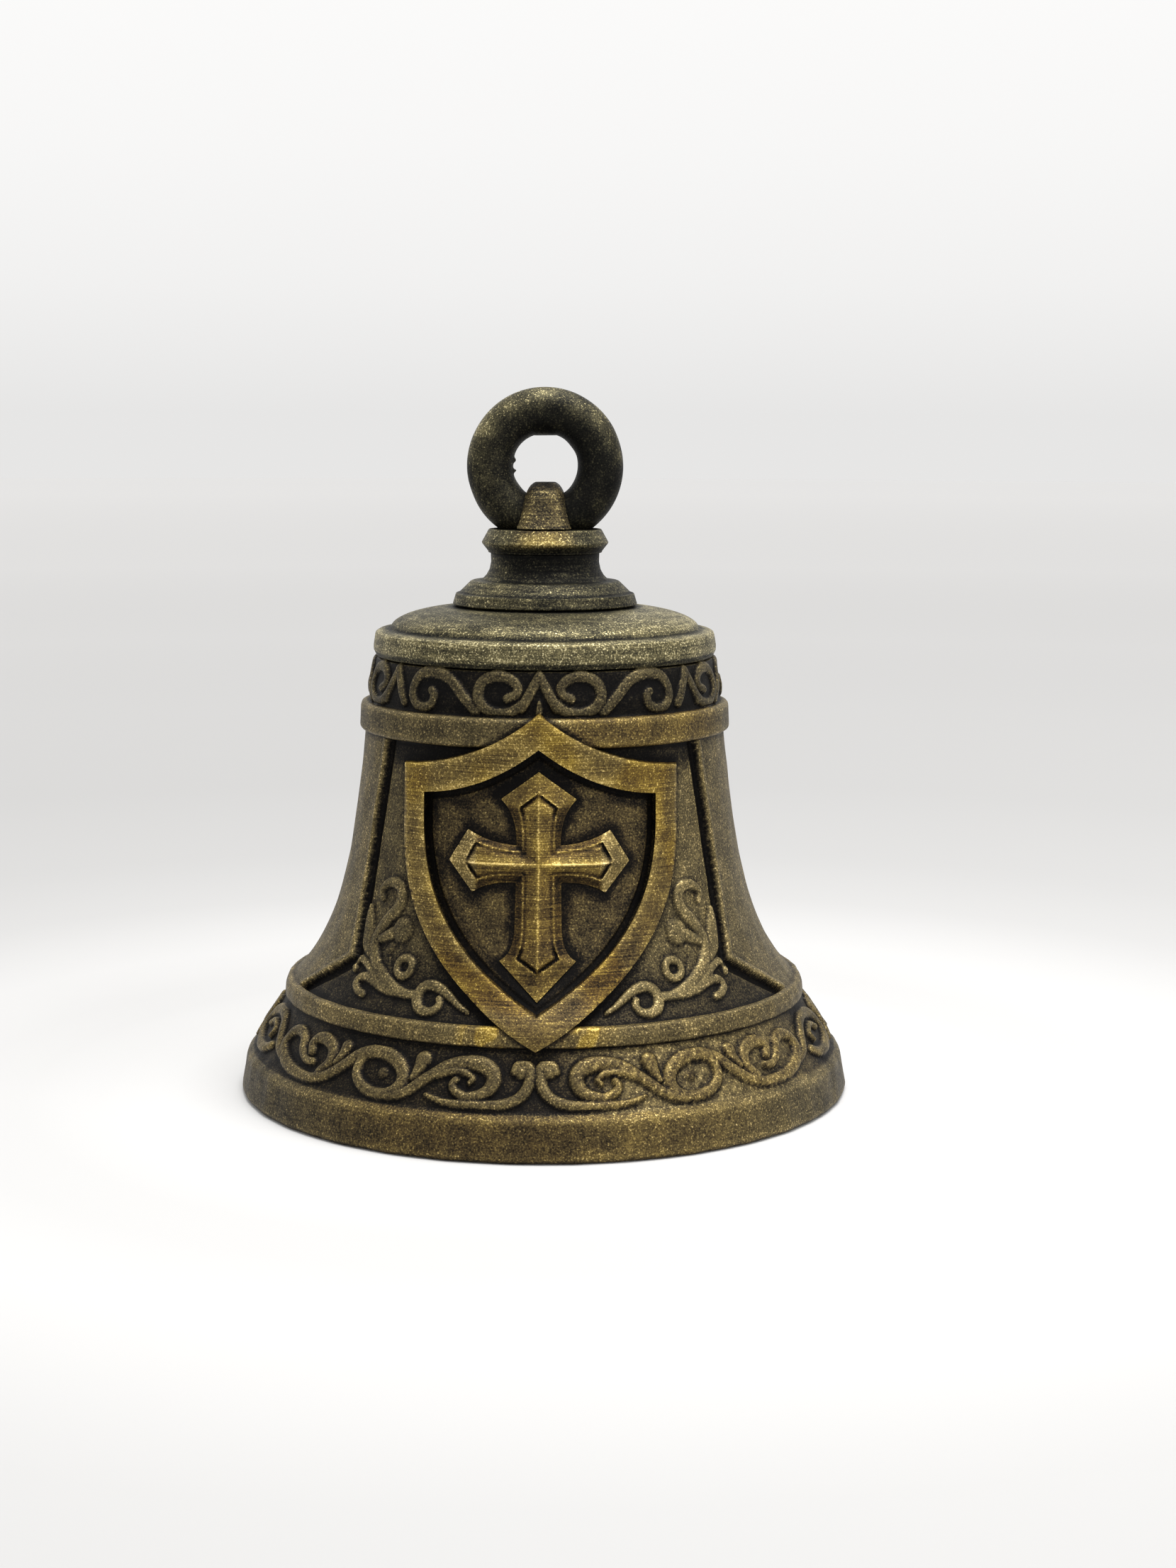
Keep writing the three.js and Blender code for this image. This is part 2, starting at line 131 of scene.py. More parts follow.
def through(points, steps=14):
    """A smooth curve through the given points (Catmull-Rom), as an array."""
    p = np.array(points, float)
    if len(p) < 3:
        return resampled(p, np.linalg.norm(p[-1] - p[0]) / steps)
    p = np.vstack([2 * p[0] - p[1], p, 2 * p[-1] - p[-2]])
    t = np.linspace(0, 1, steps, endpoint=False)[:, None]
    out = []
    for a, b, c, d in zip(p, p[1:], p[2:], p[3:]):
        out.append(0.5 * (2 * b + (c - a) * t + (2 * a - 5 * b + 4 * c - d) * t ** 2
                          + (3 * b - a - 3 * c + d) * t ** 3))
    return np.vstack(out + [p[-2][None]])


def ramp(x, low, high):
    """0 below low, 1 above high, smooth between. low may be the larger."""
    t = np.clip((x - low) / (high - low), 0, 1)
    return t * t * (3 - 2 * t)


# ---------------- meshes

def mesh_of(name, points, faces):
    """A mesh from points in millimetres."""
    mesh = bpy.data.meshes.new(name)
    mesh.from_pydata((np.asarray(points, float) * MM).tolist(), [], [list(f) for f in faces])
    return mesh


def added(name, data):
    """A new object in the scene."""
    item = bpy.data.objects.new(name, data)
    bpy.context.scene.collection.objects.link(item)
    return item


def made(name, points, faces, body, replaces=(), crease=None):
    """A piece from points in millimetres, riding on a body of the frame."""
    mesh = mesh_of(name, points, faces)
    mesh.validate()
    mesh.update()
    piece = added(name, mesh)
    smooth(mesh, crease)
    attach(piece, body)
    if replaces:
        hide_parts(*replaces)
    return piece


def smooth(mesh, crease):
    mesh.polygons.foreach_set("use_smooth", [True] * len(mesh.polygons))
    if crease:
        mesh.set_sharp_from_angle(angle=radians(crease))
    mesh.update()


def wrapped(rows, columns, closed):
    """Quads between rows of points round an axis. closed joins the last row to the first."""
    index = np.arange(rows * columns).reshape(rows, columns)
    upper = np.roll(index, -1, 0) if closed else index[1:]
    lower = index if closed else index[:-1]
    quads = [lower, np.roll(lower, -1, 1), np.roll(upper, -1, 1), upper]
    return np.stack(quads, -1).reshape(-1, 4)


def turned(profile, sides, closed=True):
    """Points and faces of a solid of revolution. An open profile starts and ends on the axis."""
    profile = np.array(profile, float)
    angle = np.arange(sides) / sides * 2 * pi
    r, z = profile[:, :1], profile[:, 1:]
    points = np.stack([r * np.sin(angle), -r * np.cos(angle), z + 0 * angle], -1)
    if closed:
        return points.reshape(-1, 3), wrapped(len(profile), sides, True)
    ring = points[1:-1].reshape(-1, 3)
    faces = [tuple(f + 1) for f in wrapped(len(profile) - 2, sides, False)]
    last = len(ring) + 1
    for k in range(sides):
        after = (k + 1) % sides
        faces.append((0, 1 + after, 1 + k))
        faces.append((last, last - sides + k, last - sides + after))
    return np.vstack([points[0, :1], ring, points[-1, :1]]), faces


def read_rows(items, attribute, width, kind=np.float32):
    """An attribute of a mesh's items, width numbers to a row."""
    values = np.empty(len(items) * width, kind)
    items.foreach_get(attribute, values)
    return values.reshape(-1, width)


def places_of(mesh):
    return read_rows(mesh.vertices, "co", 3).astype(float) / MM


def store(mesh, name, value):
    """Keeps a value from 0 to 1 on each of a mesh's points."""
    stored = mesh.attributes.new(name, "FLOAT", "POINT")
    value = np.clip(np.broadcast_to(value, len(mesh.vertices)), 0, 1).astype(np.float32)
    stored.data.foreach_set("value", value)


def proud(mesh, reach):
    """How far each point stands above its neighbourhood, in millimetres; hollows are negative."""
    pairs = read_rows(mesh.edges, "vertices", 2, np.int64)
    co = places_of(mesh)
    length = np.linalg.norm(co[pairs[:, 0]] - co[pairs[:, 1]], axis=1)
    pairs = pairs[length < 2 * reach]
    typical = float(np.median(length))
    rounds = int(np.clip((reach / typical) ** 2, 2, 40))
    count = len(co)
    a = np.concatenate([pairs[:, 0], pairs[:, 1]])
    b = np.concatenate([pairs[:, 1], pairs[:, 0]])
    degree = 1 + np.bincount(a, minlength=count)
    blurred = co.copy()
    for _ in range(rounds):
        total = [np.bincount(a, blurred[b, k], count) for k in range(3)]
        blurred = (blurred + np.stack(total, 1)) / degree[:, None]
    normal = read_rows(mesh.vertex_normals, "vector", 3).astype(float)
    return ((co - blurred) * normal).sum(1)


def lump(x, y, z, seed, size):
    """Smooth uneven values in about -1..1 with features of about size, the same each run."""
    rng = np.random.default_rng(seed)
    total = 0
    for _ in range(9):
        way = rng.normal(size=3)
        way *= 2 * pi / (size * rng.uniform(1.2, 2.6) * np.linalg.norm(way))
        total = total + np.sin(way[0] * x + way[1] * y + way[2] * z + rng.uniform(0, 2 * pi))
    return total / 3


def coloured(piece, material, tone, gold=0.0, edge=1.5, hollow=0.8):
    """Stores each point's tone (0 black patina, 1 bare metal; the tones given also hold painted light
    and shade) and gold share, then its material. Raised edges are rubbed lighter and hollows keep
    more patina."""
    mesh = piece.data
    near = np.clip(proud(mesh, 0.3), -0.08, 0.07)
    far = np.clip(proud(mesh, 1.1), -0.35, 0.08)
    store(mesh, "tone", tone + edge * near + hollow * far)
    store(mesh, "gold", gold)
    mesh.materials.clear()
    mesh.materials.append(material)
    return piece


# ---------------- materials

PATINA = [(0, (5, 4, 4)), (0.2, (22, 19, 14)), (0.4, (56, 50, 35)), (0.56, (82, 74, 51)),
          (0.72, (110, 98, 67)), (0.87, (152, 134, 92)), (1, (208, 186, 138))]
GREYED = [(0, (5, 5, 4)), (0.2, (21, 20, 15)), (0.4, (53, 50, 36)), (0.56, (79, 74, 53)),
          (0.72, (109, 101, 71)), (0.87, (152, 141, 102)), (1, (210, 199, 156))]
GILDED = [(0, (6, 4, 2)), (0.2, (28, 20, 10)), (0.4, (68, 51, 24)), (0.56, (97, 77, 35)),
          (0.72, (126, 104, 45)), (0.87, (164, 138, 64)), (1, (218, 190, 112))]


def linear(rgb):
    return [((c / 255 + 0.055) / 1.055) ** 2.4 if c > 10 else c / 255 / 12.92 for c in rgb] + [1]


def tree_of(owner):
    """The nodes and links of a material or of the world."""
    owner.use_nodes = True
    return owner.node_tree.nodes, owner.node_tree.links


def colour_ramp(nodes, stops):
    node = nodes.new("ShaderNodeValToRGB")
    elements = node.color_ramp.elements
    elements[0].position, elements[0].color = stops[0][0], linear(stops[0][1])
    elements[1].position, elements[1].color = stops[-1][0], linear(stops[-1][1])
    for position, rgb in stops[1:-1]:
        elements.new(position).color = linear(rgb)
    return node


def bronze(name, grain=0.5, blotch=0.24, streak=0.14, fleck=0.9, brush=(260, 4600),
           roughness=(0.66, 0.42), metallic=0.55, bump=0.4, level=0.1, palette=PATINA):
    """Patinated bronze, rubbed with wax: dark in the hollows, lighter and speckled where proud."""
    material = bpy.data.materials.new(name)
    nodes, links = tree_of(material)
    shader = nodes["Principled BSDF"]
    place = nodes.new("ShaderNodeTexCoord").outputs["Object"]

    def math(kind, a, b=None, clamp=False):
        node = nodes.new("ShaderNodeMath")
        node.operation = kind
        node.use_clamp = clamp
        for socket, value in zip(node.inputs, (a, b)):
            if isinstance(value, (int, float)):
                socket.default_value = value
            elif value is not None:
                links.new(value, socket)
        return node.outputs[0]

    def noise(scale, detail, stretch=(1, 1, 1)):
        mapping = nodes.new("ShaderNodeMapping")
        mapping.inputs["Scale"].default_value = [scale * s for s in stretch]
        links.new(place, mapping.inputs["Vector"])
        node = nodes.new("ShaderNodeTexNoise")
        node.inputs["Scale"].default_value = 1
        node.inputs["Detail"].default_value = detail
        node.inputs["Roughness"].default_value = 0.6
        links.new(mapping.outputs[0], node.inputs["Vector"])
        return node.outputs["Fac"]

    def stored(attribute):
        node = nodes.new("ShaderNodeAttribute")
        node.attribute_name = attribute
        return node.outputs["Fac"]

    fine = noise(3600, 3)
    flakes = noise(1900, 2)
    coarse = noise(260, 4)
    brushed = noise(1, 3, (brush[0], brush[0], brush[1]))
    levels = noise(1, 1, (30, 30, 5200))
    total = stored("tone")
    for value, amount in ((fine, grain), (flakes, 0.4 * grain), (coarse, blotch),
                          (brushed, streak)):
        spread = math("MULTIPLY", math("SUBTRACT", value, 0.5), 2 * amount)
        total = math("ADD", total, spread)
    spark = math("MULTIPLY", math("SUBTRACT", fine, 0.58, True), 4 * fleck)
    total = math("ADD", total, math("MULTIPLY", spark, stored("tone")), True)

    dark, gold = colour_ramp(nodes, palette), colour_ramp(nodes, GILDED)
    links.new(total, dark.inputs[0])
    links.new(total, gold.inputs[0])
    share = math("MULTIPLY", stored("gold"), math("ADD", coarse, 0.55), True)
    mix = nodes.new("ShaderNodeMix")
    mix.data_type = "RGBA"
    links.new(share, mix.inputs["Factor"])
    links.new(dark.outputs["Color"], mix.inputs["A"])
    links.new(gold.outputs["Color"], mix.inputs["B"])
    links.new(mix.outputs["Result"], shader.inputs["Base Color"])

    gloss = nodes.new("ShaderNodeMapRange")
    gloss.inputs["To Min"].default_value, gloss.inputs["To Max"].default_value = roughness
    links.new(total, gloss.inputs["Value"])
    links.new(gloss.outputs["Result"], shader.inputs["Roughness"])
    shader.inputs["Metallic"].default_value = metallic
    shader.inputs["Specular IOR Level"].default_value = 0.16

    height = math("ADD", fine, math("MULTIPLY", levels, level / max(bump, 0.01)))
    node = nodes.new("ShaderNodeBump")
    node.inputs["Strength"].default_value = bump
    node.inputs["Distance"].default_value = 0.12 * MM
    links.new(height, node.inputs["Height"])
    links.new(node.outputs["Normal"], shader.inputs["Normal"])
    return material


# ---------------- the cast body's outline

WAIST = np.array(bezier((41, WAIST_FOOT), (32.6, 27.5), (31, 42), (29.15, WAIST_HEAD), steps=60))


def waist_radius(z):
    return np.interp(z, WAIST[:, 1], WAIST[:, 0])


def inner_waist():
    along = directions(WAIST)
    return WAIST + WALL * np.stack([-along[:, 1], along[:, 0]], 1)


def body_rows():
    """Rows of the body's closed outline as [radius, height], and how many of them are outside."""
    lip = softened([(48, 0), (49.4, 0), (50, 0.6), (49, LIP_TOP), (47.8, 7.3), (47.5, 7.5)], 0.35)
    frieze = [(47.5, 7.5), (42.05, 15.6)]
    moulding = softened([(42.05, 15.6), (42.15, 15.75), (42.75, 15.9), (42.6, 17.4), (42.1, 18.75),
                         (41.1, 18.85), (40.95, 19)], 0.3)
    band = softened([(29.2, 59.1), (29.2, 59.35), (29.7, 59.4), (30.1, 59.8), (29.9, 63.5),
                     (29.5, 63.9), (28.4, 64), (28.35, 64.6)], 0.3)
    waist = [p for p in WAIST if 19 < p[1] < 59.1]
    upper = [(28.35, 64.6), (28.3, 66.5), (27.4, 70.5), (27.2, CROWN_TOP)]
    outside = resampled(lip + frieze[1:] + moulding[1:] + waist + band + upper[1:], FINE)
    head = resampled([(27.2, CROWN_TOP), (2.5, CROWN_TOP), (2.5, 67.4), (22.5, 67.4), (24.6, 66)],
                     COARSE)
    inside = list(inner_waist()[::-1]) + [(42.3, 9.5), (45, 2.5), (45.3, 0), (48, 0)]
    inside = resampled([(24.6, 66), *inside], COARSE)
    return np.vstack([outside, head[1:], inside[1:-1]]), len(outside)


def lift(field, rows, columns, shape):
    """Raises part of a field to a shape, where the shape is higher."""
    part = np.ix_(rows, columns)
    field[part] = np.maximum(field[part], shape)


STROKE_FLATNESS = 2.3  # exponent of a stroke's section: 2 is half round
LOWER_STROKE = (0.78, 1.22)  # height, and what the half-widths are multiplied by
UPPER_STROKE = (0.55, 1.2)
CORNER_STROKE = (0.62, 1.25)
CORNER_RING_WIDTH = 0.72


class Skin:
    """The outside of the body as rows and columns, where relief is measured along the surface."""

    def __init__(self, rows, columns):
        self.r = rows[:, 0][:, None]
        self.z = rows[:, 1][:, None]
        self.s = lengths(rows)
        self.angle = columns

    def climb(self, z):
        return np.interp(z, np.maximum.accumulate(self.z[:, 0]), self.s)

    def nearest(self, path, widths, reach):
        """Each cell's distance to a path of (angle, climb), as a share of the path's half-width."""
        rows = np.flatnonzero(np.abs(self.s - path[:, 1].mean()) <= np.ptp(path[:, 1]) / 2 + reach)
        middle = path[:, 0].min() + np.ptp(path[:, 0]) / 2
        margin = np.ptp(path[:, 0]) / 2 + reach / self.r[rows].min()
        columns = np.flatnonzero(np.abs(self.angle - middle) <= margin)
        if not len(rows) or not len(columns):
            return rows, columns, None
        r = self.r[rows]
        best = np.full((len(rows), len(columns)), 99.0)
        for (angle, climb), width in zip(path, widths):
            across = r * (self.angle[columns] - angle)[None, :]
            up = (self.s[rows] - climb)[:, None]
            best = np.minimum(best, np.hypot(across, up) / width)
        return rows, columns, best

    def stroke(self, field, points, widths, height, swell=1.0):
        """Lays a raised stroke through (degrees, height) points, its half-width along widths."""
        widths = np.array(widths) * swell
        points = np.array([(radians(a), self.climb(z)) for a, z in points])
        path = through(points) if len(points) > 1 else points
        middle = float(np.interp(path[:, 1].mean(), self.s, self.r[:, 0]))
        steps = np.hypot(np.diff(path[:, 0]) * middle, np.diff(path[:, 1]))
        along = np.concatenate([[0], np.cumsum(steps)])
        widths = np.interp(along, np.linspace(0, max(along[-1], 1e-9), len(widths)), widths)
        rows, columns, share = self.nearest(path, widths, widths.max())
        if share is None:
            return
        shape = height * np.sqrt(np.clip(1 - share ** STROKE_FLATNESS, 0, 1))
        lift(field, rows, columns, shape)


# ---------------- relief

# The centre lines of all scrolls were traced by eye and carried into degrees and heights by a
# throwaway script, then adjusted. They would be better as a few arcs and spirals.
# Scrolls of the lower frieze: (degrees from the front, height) and half-widths along the stroke.
CURL = [(3.9, 12.6), (3.4, 13.4), (2.2, 13.7), (1.1, 13.1), (0.9, 11.8), (1.7, 10.2), (3.4, 9),
        (6.2, 8.3)]
CURL_WIDTHS = [0.6, 0.8, 0.75, 0.6, 0.3]
LOWER_FRIEZE = [
    ([*CURL, (9.4, 8.1), (12.7, 8.1), (16.6, 8.2), (20.6, 8.9)], CURL_WIDTHS),
    ([(2.6, 12.7)], [1.05]),
    ([(29, 8.1), (26.5, 8.4), (24.2, 9.3), (22.1, 10.6), (19.6, 11.9), (17.4, 12.9), (14.4, 13.5),
      (11.1, 13.5), (8.6, 12.7), (7.9, 11.5), (8.6, 10.2), (10.3, 9.4), (12.9, 9.1), (14.9, 9.7),
      (15.8, 10.5), (15.3, 11.2)], [0.6, 0.75, 0.8, 0.95, 1.15, 0.95, 0.7, 0.5]),
    ([(20.6, 11.2), (18.6, 11.8), (16.2, 12.3), (13.6, 12.2), (11.9, 11.5), (12.5, 10.9)],
     [0.5, 0.6, 0.5, 0.35]),
    ([(22.8, 13.5), (23.2, 12.4), (24.2, 10.8)], [1.15, 0.8, 0.4]),
    ([(48.8, 8), (44.5, 9), (41.1, 10.8), (37.9, 12.7), (33.9, 13.6), (29.6, 13.2), (26.8, 11.8),
      (26.2, 10), (27.9, 8.6), (30.8, 8.2), (34, 8.7), (36.5, 9.9), (37.2, 11.3), (36.6, 12.8)],
     [0.7, 0.8, 0.95, 1.0, 0.9, 0.75, 0.7]),
    ([(42, 13.4), (42.2, 12.4), (43.2, 11)], [1.0, 0.7, 0.4]),
    ([(45.3, 8.9), (49, 8.1), (55.2, 8.4), (60.2, 9.4), (62.9, 10.9), (62.1, 12.7), (59.3, 13.4),
      (56.6, 12.8), (54.8, 11.2), (51.8, 10.2), (49.6, 10.3)], [0.7, 0.85, 0.95, 0.9, 0.75, 0.55]),
    ([(46.5, 9.3), (44.9, 10.9), (45.7, 12.7), (48.8, 13.6), (51.4, 13.4), (52.4, 12.5),
      (51.5, 11.5)], [0.7, 0.9, 0.95, 0.7]),
    ([(61.5, 9.3), (65, 10.2), (67.9, 12), (71, 13.5), (76, 14), (81, 13), (83.2, 11), (81.5, 9.4),
      (77, 8.6), (71.8, 8.7), (68.6, 9.6)], [0.6, 0.8, 0.95, 0.9, 0.7]),
    ([(78.4, 11.4), (75.5, 12.3), (72, 11.6), (72.3, 10.3)], [0.5, 0.4]),
    ([(90 - angle, z) for angle, z in CURL], CURL_WIDTHS),
]
LOWER_BOSS = ([(30.9, 11)], [1.0])

# One repeat of the upper frieze: a pointed leaf, a volute and a hook.
UPPER_REPEAT = 54
UPPER_LEAF = [([(side, 65.5), (0, 70.2)], [0.72, 0.72]) for side in (5.4, -5.4)]
UPPER_TIP = ([(0, 66.3), (0, 64.9)], [0.35, 0.6])
UPPER_VOLUTE = ([(5.1, 66), (8.8, 64.9), (14, 64.7), (18.2, 65.8), (19.6, 67.6), (18, 69.4),
                 (13.8, 70.2), (9.3, 69.8), (6.9, 68.7), (7.2, 67.6), (10, 66.9)],
                [0.72, 0.75, 0.8, 0.8, 0.72, 0.6])
UPPER_HOOK = ([(20.2, 64.8), (25, 67.2), (30, 69.5), (36, 70.3), (42, 69.8), (44.6, 67.6),
               (43.2, 65.5), (39.4, 64.9), (36, 65.7), (35.4, 67), (36.6, 67.6)],
              [0.72, 0.78, 0.78, 0.72, 0.6])
UPPER_BACK = ([(180, 64.9), (187.4, 67.5), (180, 70.1), (172.6, 67.5), (180, 64.9)], [0.78, 0.78])

# Scrolls in the lower corners of the front panel.
CORNER_SCROLL = [
    ([(49.8, 34.7), (50.8, 35.8), (49.6, 36.8), (46.8, 37.4), (43.8, 37.1), (42.2, 36),
      (42.1, 34.7), (43.4, 33.3), (45.6, 32), (47.2, 30.6), (48.3, 29.2), (48.3, 27.8),
      (47.2, 26.5), (45.1, 25.3), (42.1, 24.2), (38.9, 23.1), (35.7, 22.3), (32.3, 21.8),
      (29.8, 21.9)],
     [0.45, 0.75, 0.92, 0.92, 0.92, 0.95, 0.95]),
    ([(46.5, 28.9), (42.8, 29.9)], [0.6, 0.9]),
    ([(39.4, 30.7)], [1.7]),
    ([(54.4, 33.2), (53.8, 31), (52.6, 29.3), (51.1, 27.9), (48.9, 26.7)], [0.3, 1.15, 1.35, 0.9]),
    ([(52.1, 23.8), (53, 24.7), (51.2, 25.4), (48.3, 25), (45.7, 24.1), (43, 23.4)],
     [0.45, 0.6, 0.65]),
    ([(35.6, 22.3), (39.6, 22.5), (43.1, 23), (46.3, 23.3), (48.7, 23), (49.3, 22.1), (47.4, 21.3),
      (45.2, 21)], [0.9, 0.85, 0.7, 0.6, 0.55]),
    ([(15.6, 20.6), (17.9, 21.3), (20.6, 22.4), (23.3, 23.3), (26.1, 23.7), (28.3, 23.2),
      (29.1, 21.9), (28, 20.7), (26, 20.2), (24, 20.4), (22.9, 21.2), (23.3, 22)],
     [0.3, 0.55, 0.75, 0.8, 0.7, 0.5]),
]
CORNER_CRESCENT = ([(42, 28), (42.8, 26.9), (41.2, 25.3), (38.5, 24)], [0.8, 0.9, 0.5])
CORNER_RING = (35.5, 25.6, 1.45)  # degrees, height, radius of its centre line

# Half of the front panel's edge, and the shield's edges, seen from the front as (x, height).
PANEL_EDGE = [(24.3, WAIST_HEAD), (29.6, 25.3), (38.6, 19)]


def shield_half(tip, belly, bulge, knee, shoulder, dip, apex):
    side = [*bezier((0, tip), belly, bulge, knee), shoulder]
    return resampled(side + bezier(shoulder, dip, (0, apex)), 0.4)


SHIELD_OUTER = shield_half(15.6, (19.5, 26.5), (21.6, 36.5), (21.1, 50), (21.1, 56.2),
                           (9, 57.2), 64.8)
SHIELD_INNER = shield_half(20.2, (15.6, 28.9), (18.2, 38.5), (17.9, 50), (17.9, 52.1),
                           (8.2, 52.9), 59.4)

CROSS_BASE = joined((0, 21.9), (5.85, 27.55), ((3.9, 28.4), (3.6, 31.8)), (3.45, 39.1),
                    ((7.6, 39.2), (10.2, 37.4)), (13.85, 42), (10.9, 46.8),
                    ((7.8, 44.9), (3.35, 44.65)), ((3.3, 49.4), (5.8, 51.6)), (0, 55.8), steps=8)
CROSS_CREST = joined((0, 25.7), (3.45, 27.9), ((2.5, 29.4), (2.4, 32)), (2.3, 40.3),
                     ((6.6, 40.7), (9.6, 39.3)), (11.5, 42.1), (9.8, 45.2),
                     ((6.4, 43.9), (2.35, 43.75)), ((2.3, 48.4), (3.05, 50.5)), (0, 52.8), steps=6)


def on_waist(skin, path, spacing=0.3):
    """A front-view path of (x, height) laid on the waist, as (angle, climb)."""
    path = resampled(path, spacing)
    share = np.clip(path[:, 0] / waist_radius(path[:, 1]), -1, 1)
    return np.stack([np.arcsin(share), skin.climb(path[:, 1])], 1)


def edge_distance(skin, path, reach):
    """Distance in millimetres to a path on the skin, at most reach."""
    field = np.full((len(skin.s), len(skin.angle)), float(reach))
    rows, columns, share = skin.nearest(path, np.ones(len(path)), reach)
    field[np.ix_(rows, columns)] = np.minimum(share, reach)
    return field


def quarter_relief(skin):
    """Relief and masks over a quarter turn, from the middle of the front to the side."""
    z, x = skin.z, np.sin(skin.angle)[None, :] * skin.r
    strokes = np.zeros((len(skin.s), len(skin.angle)))
    for points, widths in LOWER_FRIEZE:
        skin.stroke(strokes, points, widths, *LOWER_STROKE)
    skin.stroke(strokes, *LOWER_BOSS, 0.4)
    waist = (z > WAIST_FOOT) & (z < WAIST_HEAD)
    panel_x = np.interp(z, [p[1] for p in PANEL_EDGE[::-1]], [p[0] for p in PANEL_EDGE[::-1]])
    inside = waist & (x < panel_x)
    edge = edge_distance(skin, on_waist(skin, PANEL_EDGE), 3)
    depth = np.where(inside, edge, -edge)
    panel = np.where(waist, -PANEL_DEPTH * ramp(depth, -0.12, 0.25), 0)
    panel -= np.where(waist, 0.4 * ramp(depth, 0, 0.3) * ramp(depth, 1.7, 1.3), 0)
    panel += np.where(waist, 0.2 * ramp(depth, -1.3, -0.9) * ramp(depth, -0.05, -0.3), 0)
    scroll = np.zeros_like(strokes)
    for points, widths in CORNER_SCROLL:
        skin.stroke(scroll, points, widths, *CORNER_STROKE)
    skin.stroke(scroll, *CORNER_CRESCENT, 0.25)
    degrees, height, radius = CORNER_RING
    middle = float(waist_radius(height))
    turn = np.linspace(0, 2 * pi, 40)
    ring = np.stack([radians(degrees) + radius * np.cos(turn) / middle,
                     skin.climb(height) + radius * np.sin(turn)], 1)
    rows, columns, share = skin.nearest(ring, np.full(40, CORNER_RING_WIDTH), CORNER_RING_WIDTH)
    ring_shape = CORNER_STROKE[0] * np.sqrt(np.clip(1 - share ** 2, 0, 1))
    lift(scroll, rows, columns, ring_shape)
    inner = edge_distance(skin, on_waist(skin, SHIELD_INNER), 4)
    width = np.interp(z, SHIELD_INNER[:, 1], SHIELD_INNER[:, 0], left=-1, right=-1)
    window = np.where(x < width, inner, -inner)
    field = ramp(window, 1.0, 1.25)
    outer = edge_distance(skin, on_waist(skin, SHIELD_OUTER), 4)
    width = np.interp(z, SHIELD_OUTER[:, 1], SHIELD_OUTER[:, 0], left=-1, right=-1)
    beside = np.where(x > width, outer, 0)
    around = edge_distance(skin, on_waist(skin, np.array(CROSS_BASE)), 3)
    relief = strokes + panel + scroll + 0.22 * field * (z > 20)
    raised = np.maximum(ramp(strokes, 0.12, 0.5), ramp(scroll, 0.1, 0.4))
    return relief, raised, depth, window, beside, around


def half_relief(skin):
    """Relief of the upper frieze over half a turn."""
    strokes = np.zeros((len(skin.s), len(skin.angle)))
    for repeat in range(4):
        for points, widths in [*UPPER_LEAF, UPPER_VOLUTE, UPPER_HOOK]:
            moved = [(a + repeat * UPPER_REPEAT, z) for a, z in points]
            if moved[-1][0] < 176 and moved[0][0] < 178:
                skin.stroke(strokes, moved, widths, *UPPER_STROKE)
    skin.stroke(strokes, *UPPER_BACK, *UPPER_STROKE)
    skin.stroke(strokes, *UPPER_TIP, 0.4)
    return strokes


def all_round(quarter):
    half = np.concatenate([quarter, quarter[:, -2::-1]], 1)
    return mirrored(half)


def mirrored(half):
    return np.concatenate([half, half[:, -2:0:-1]], 1)


def bell_body():
    rows, outside = body_rows()
    angle = np.arange(COLUMNS) / COLUMNS * 2 * pi
    skin = Skin(rows[:outside], angle[: COLUMNS // 4 + 1])
    relief, raised, *masks = map(all_round, quarter_relief(skin))
    upper_skin = Skin(rows[:outside], angle[: COLUMNS // 2 + 1])
    upper = mirrored(half_relief(upper_skin))
    relief += upper
    raised = np.maximum(raised, ramp(upper, 0.08, 0.32))

    along = directions(rows)
    normal = np.stack([along[:, 1], -along[:, 0]], 1)
    r, z = rows[:, :1], rows[:, 1:]
    height = np.zeros((len(rows), COLUMNS))
    height[:outside] = relief
    flat = 2 * pi / LIP_FLATS
    sagitta = 1 - cos(flat / 2) / np.cos((angle + 0.4 * flat) % flat - flat / 2)
    on_lip = np.zeros((len(rows), 1))
    on_lip[:outside] = ramp(z[:outside], 6.9, 6.1)
    height -= 50 * FLATNESS * sagitta * on_lip
    x, y = np.sin(angle)[None, :] * r, -np.cos(angle)[None, :] * r
    height += 0.03 * lump(x, y, z, 3, 3) * (np.arange(len(rows)) < outside)[:, None]

    radius = r + normal[:, :1] * height
    level = z + normal[:, 1:] * height
    level = np.maximum(level, 0)
    points = np.stack([radius * np.sin(angle), -radius * np.cos(angle), level], -1)
    body = made("cast_body", points.reshape(-1, 3), wrapped(len(rows), COLUMNS, True),
                "bell", ["bell_body"])
    tone, gold = np.full(height.shape, 0.22), np.zeros(height.shape)
    tone[:outside], gold[:outside] = body_tone(z[:outside], angle, raised, *masks)
    return coloured(body, BODY, tone.ravel(), gold.ravel())


